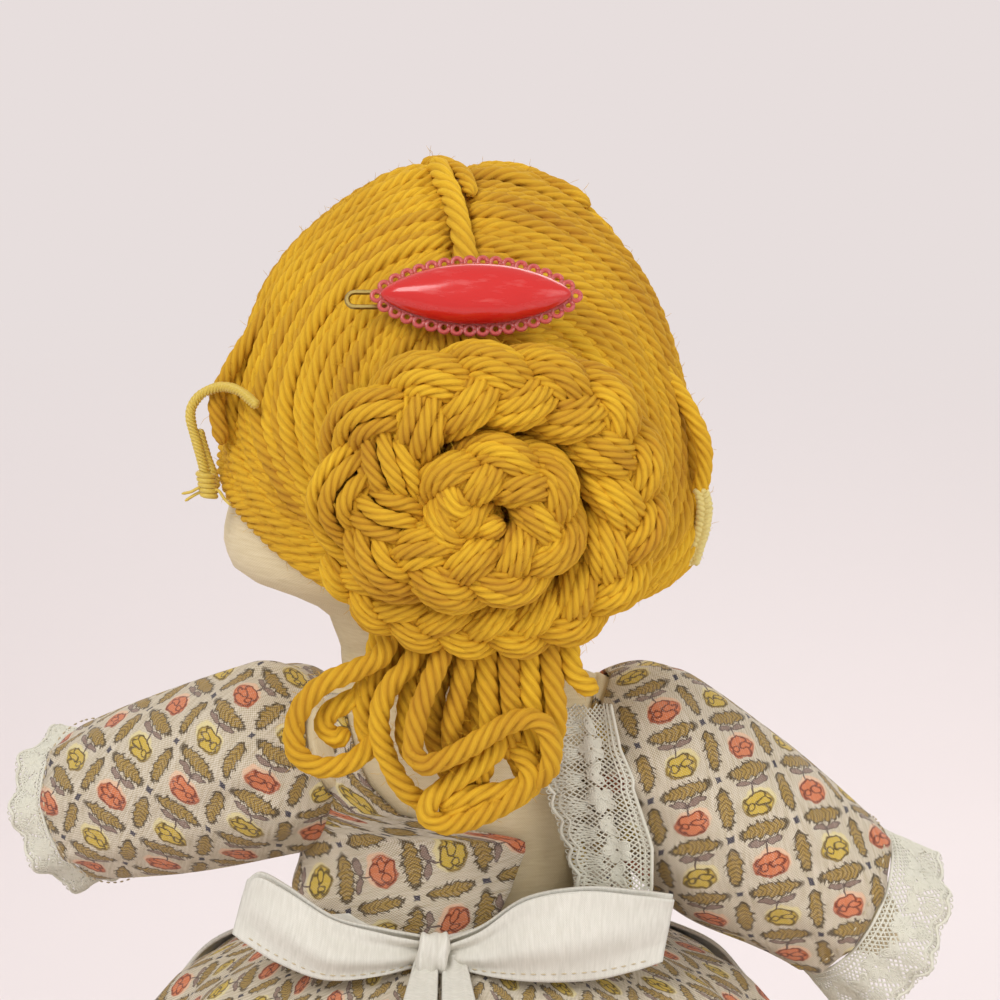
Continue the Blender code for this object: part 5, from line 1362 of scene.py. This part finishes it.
def lace(name, surface, width, length, body, node, closed=True):
    """Bobbin net with cord round its figures. surface takes shares across and along it."""
    shape = Shape()

    def lay(across, along, thread, sides=4):
        turn = along / length * TURN if closed else np.clip(along / length, 0, 1)
        tube(shape, surface(np.clip(across / width, 0, 1.03), turn), thread, sides, taper=False)

    steps = np.linspace(0, width - 0.4, max(6, int(width / 1.1)))
    first, last = (0, length) if closed else (-width, length - 0.5)
    for lean in (1, -1):
        for start in np.arange(first, last, NET_PITCH):
            run = start + (0 if lean > 0 or closed else width) + lean * steps * 0.85
            keep = (run > 0) & (run < length) | closed
            if np.count_nonzero(run[keep]) > 3:
                lay(steps[keep], run[keep], 0.19)
    fine = np.linspace(0, length, int(length / 0.7))
    wave = np.abs(np.sin(math.pi * fine / SCALLOP))
    for across, thread in ((0.3, 0.4), (1.6, 0.26), (2.6, 0.2), (width - 1.2 + 1.3 * wave, 0.42),
                           (width - 2.6 + 1.2 * wave, 0.26)):
        lay(across + 0 * fine, fine, thread, 6)
    # In each scallop a fan of close bars
    share = np.linspace(0, 1, 5)
    for fan in np.arange(SCALLOP / 2, length, SCALLOP):
        for bar in np.linspace(-1, 1, 7):
            outer = width - 1.4 + 1.2 * math.cos(bar * math.pi / 2)
            lay(outer - (1 - share) * 0.36 * width, fan + bar * SCALLOP * (0.18 + 0.3 * share),
                0.23)
    around = np.linspace(0, TURN, 14)
    for picot in np.arange(0.6, length, 1.5):
        edge = width + 0.1 + 0.9 * abs(math.sin(math.pi * picot / SCALLOP)) - 0.7
        lay(edge + 0.55 * np.cos(around), picot + 0.5 * np.sin(around), 0.14)
    # Figures: a flower of five petals and two leaves, worked close so that they look solid
    for middle in np.arange(SCALLOP, length - SCALLOP / 2, 1.9 * SCALLOP):
        for aim in TURN * np.arange(5) / 5:
            for size in (1.0, 0.62, 0.28):
                u = 1.7 + size * 1.25 * np.cos(around)
                v = size * 0.95 * np.sin(around)
                lay(width * 0.42 + (u * math.cos(aim) - v * math.sin(aim)) * min(1, width / 9),
                    middle + u * math.sin(aim) + v * math.cos(aim), 0.3, 5)
        for leaf in (-1, 1):
            for size in (1.0, 0.6, 0.25):
                u = size * 2.3 * np.cos(around)
                v = size * 0.85 * np.sin(around)
                lay(width * 0.44 + 0.6 * u + 0.8 * v, middle + leaf * (5.0 + 0.8 * u - 0.6 * v),
                    0.3, 5)
    return place_piece(shape.piece(name, LACE), body, "lace", node)


for number, side in enumerate(SIDES):
    lace(side + "_cuff_edging", partial(cuff_surface, side, number), CUFFS[side],
                         124.0, side + "_arm", side + "_cuff_lace")
for side, middle in HIPS.items():
    lace(side + "_hem_edging", partial(hem_surface, middle), 14.0, 144.0,
                                  side + "_leg", side + "_hem_lace")
neck_edging = lace("neck_edging", lambda across, along: lace_surface(along, 1 - across),
                   17.0, 50.0, "body", "neck_lace", False)

# The face, embroidered: eyes, brows, a nose of two stitches and a small smile


def stitched(shape, path, thread):
    """Separate stitches along a line on the head."""
    for a, b in zip(path[:-1:2], path[1::2]):
        tube(shape, on_head([a, (a + b) / 2, b], 0.5), thread, 6)


EYE_ACROSS, EYE_LEVEL, EYE_WIDE, EYE_TALL = 17.0, 113.5, 3.1, 1.25
shape = Shape()
for side in (-1, 1):
    for row in np.linspace(-0.92, 0.92, 15):
        half = EYE_WIDE * math.sqrt(1 - row * row) * EYE_TALL
        tube(shape, on_head([(side * EYE_ACROSS + EYE_WIDE * row, 60, EYE_LEVEL + share * half)
                             for share in (-1, 0, 1)], 0.55), 0.28, 6)
    stitched(shape, smooth_path([(side * 11.5, 60, 121), (side * 17, 60, 123.6),
                                 (side * 23, 60, 121.5)], 1.0), 0.4)
    tube(shape, on_head([(side * 1.6, 60, 104.5), (side * 2.0, 60, 105.1),
                         (side * 2.6, 60, 105.4)], 0.5), 0.4, 6)
place_piece(shape.piece("embroidered_eyes", BROWN_FLOSS), "head", "muslin")
shape = Shape()
smile = smooth_path([(-7.5, 60, 95.6), (-4, 60, 93.6), (0, 60, 92.8), (4, 60, 93.6),
                     (7.5, 60, 95.6)], 0.9)
stitched(shape, smile, 0.42)
place_piece(shape.piece("embroidered_smile", RED_FLOSS), "head", "muslin")


# Lines of stitches: the head's side seams, the sleeves' ends, the soles, hems and bow


def stitches(name, path, body, slot, kind=PALE_FLOSS, stitch=1.6, thread=0.24):
    shape = Shape()
    path = smooth_path(path, stitch / 3)
    for k in range(0, len(path) - 3, 4):
        tube(shape, path[k:k + 3], thread, 5)
    place_piece(shape.piece(name, kind), body, slot)


HEM_STITCH = 2.4
for side, sign in zip(SIDES, (-1, 1)):
    seam = on_head([(sign * 60, 1, z) for z in range(89, 112, 3)], 0.25)
    stitches(side + "_head_seam", seam, "head", "muslin")
    hem = from_arm(side, np.full(160, SLEEVE - 2), np.linspace(0, TURN, 160), 19.3)
    stitches(side + "_cuff_seam", hem, side + "_arm", "calico")
    sole = shoe_surface(HIPS[side], np.full(120, 0.10), np.linspace(0, TURN, 120))
    sole = sole + (sole - sole.mean(axis=0)) * 0.012
    stitches(side + "_sole_stitching", sole, side + "_leg", "felt", BROWN_FLOSS, HEM_STITCH, 0.3)
hem = skirt_surface(np.full(900, 0.955), np.linspace(0, TURN, 900), 0.75)
stitches("skirt_hem_stitching", hem, "body", "calico", stitch=HEM_STITCH)
across = np.linspace(-1, 1, 300)
hem = apron_surface(np.full(300, 0.95), across)
stitches("apron_hem_stitching", hem + ring_round(0.6, 0.6, math.pi + 1.117 * across, 0), "body",
         "white_cotton", stitch=HEM_STITCH)
for side in SIDES:
    edge = between_edges(*BOW_ROUTES[side], 2.2, 1, np.linspace(0.05, 0.95, 120),
                         np.full(120, 0.9))
    stitches("bow_%s_stitching" % side, edge - (0, 0.45, 0), "body", "white_cotton",
             stitch=2.0, thread=0.18)

fuzz("hair_fuzz", "head", FUZZ[:tail_start] + FUZZ[tail_end:], 0.5)
# No fibres at the roots, which turn against the bun when the ponytail swings
rootless = [(points[len(points) // 3:], way[len(way) // 3:])
            for points, way in FUZZ[tail_start:tail_end]]
fuzz("tail_fuzz", "ponytail", rootless, 1.4)
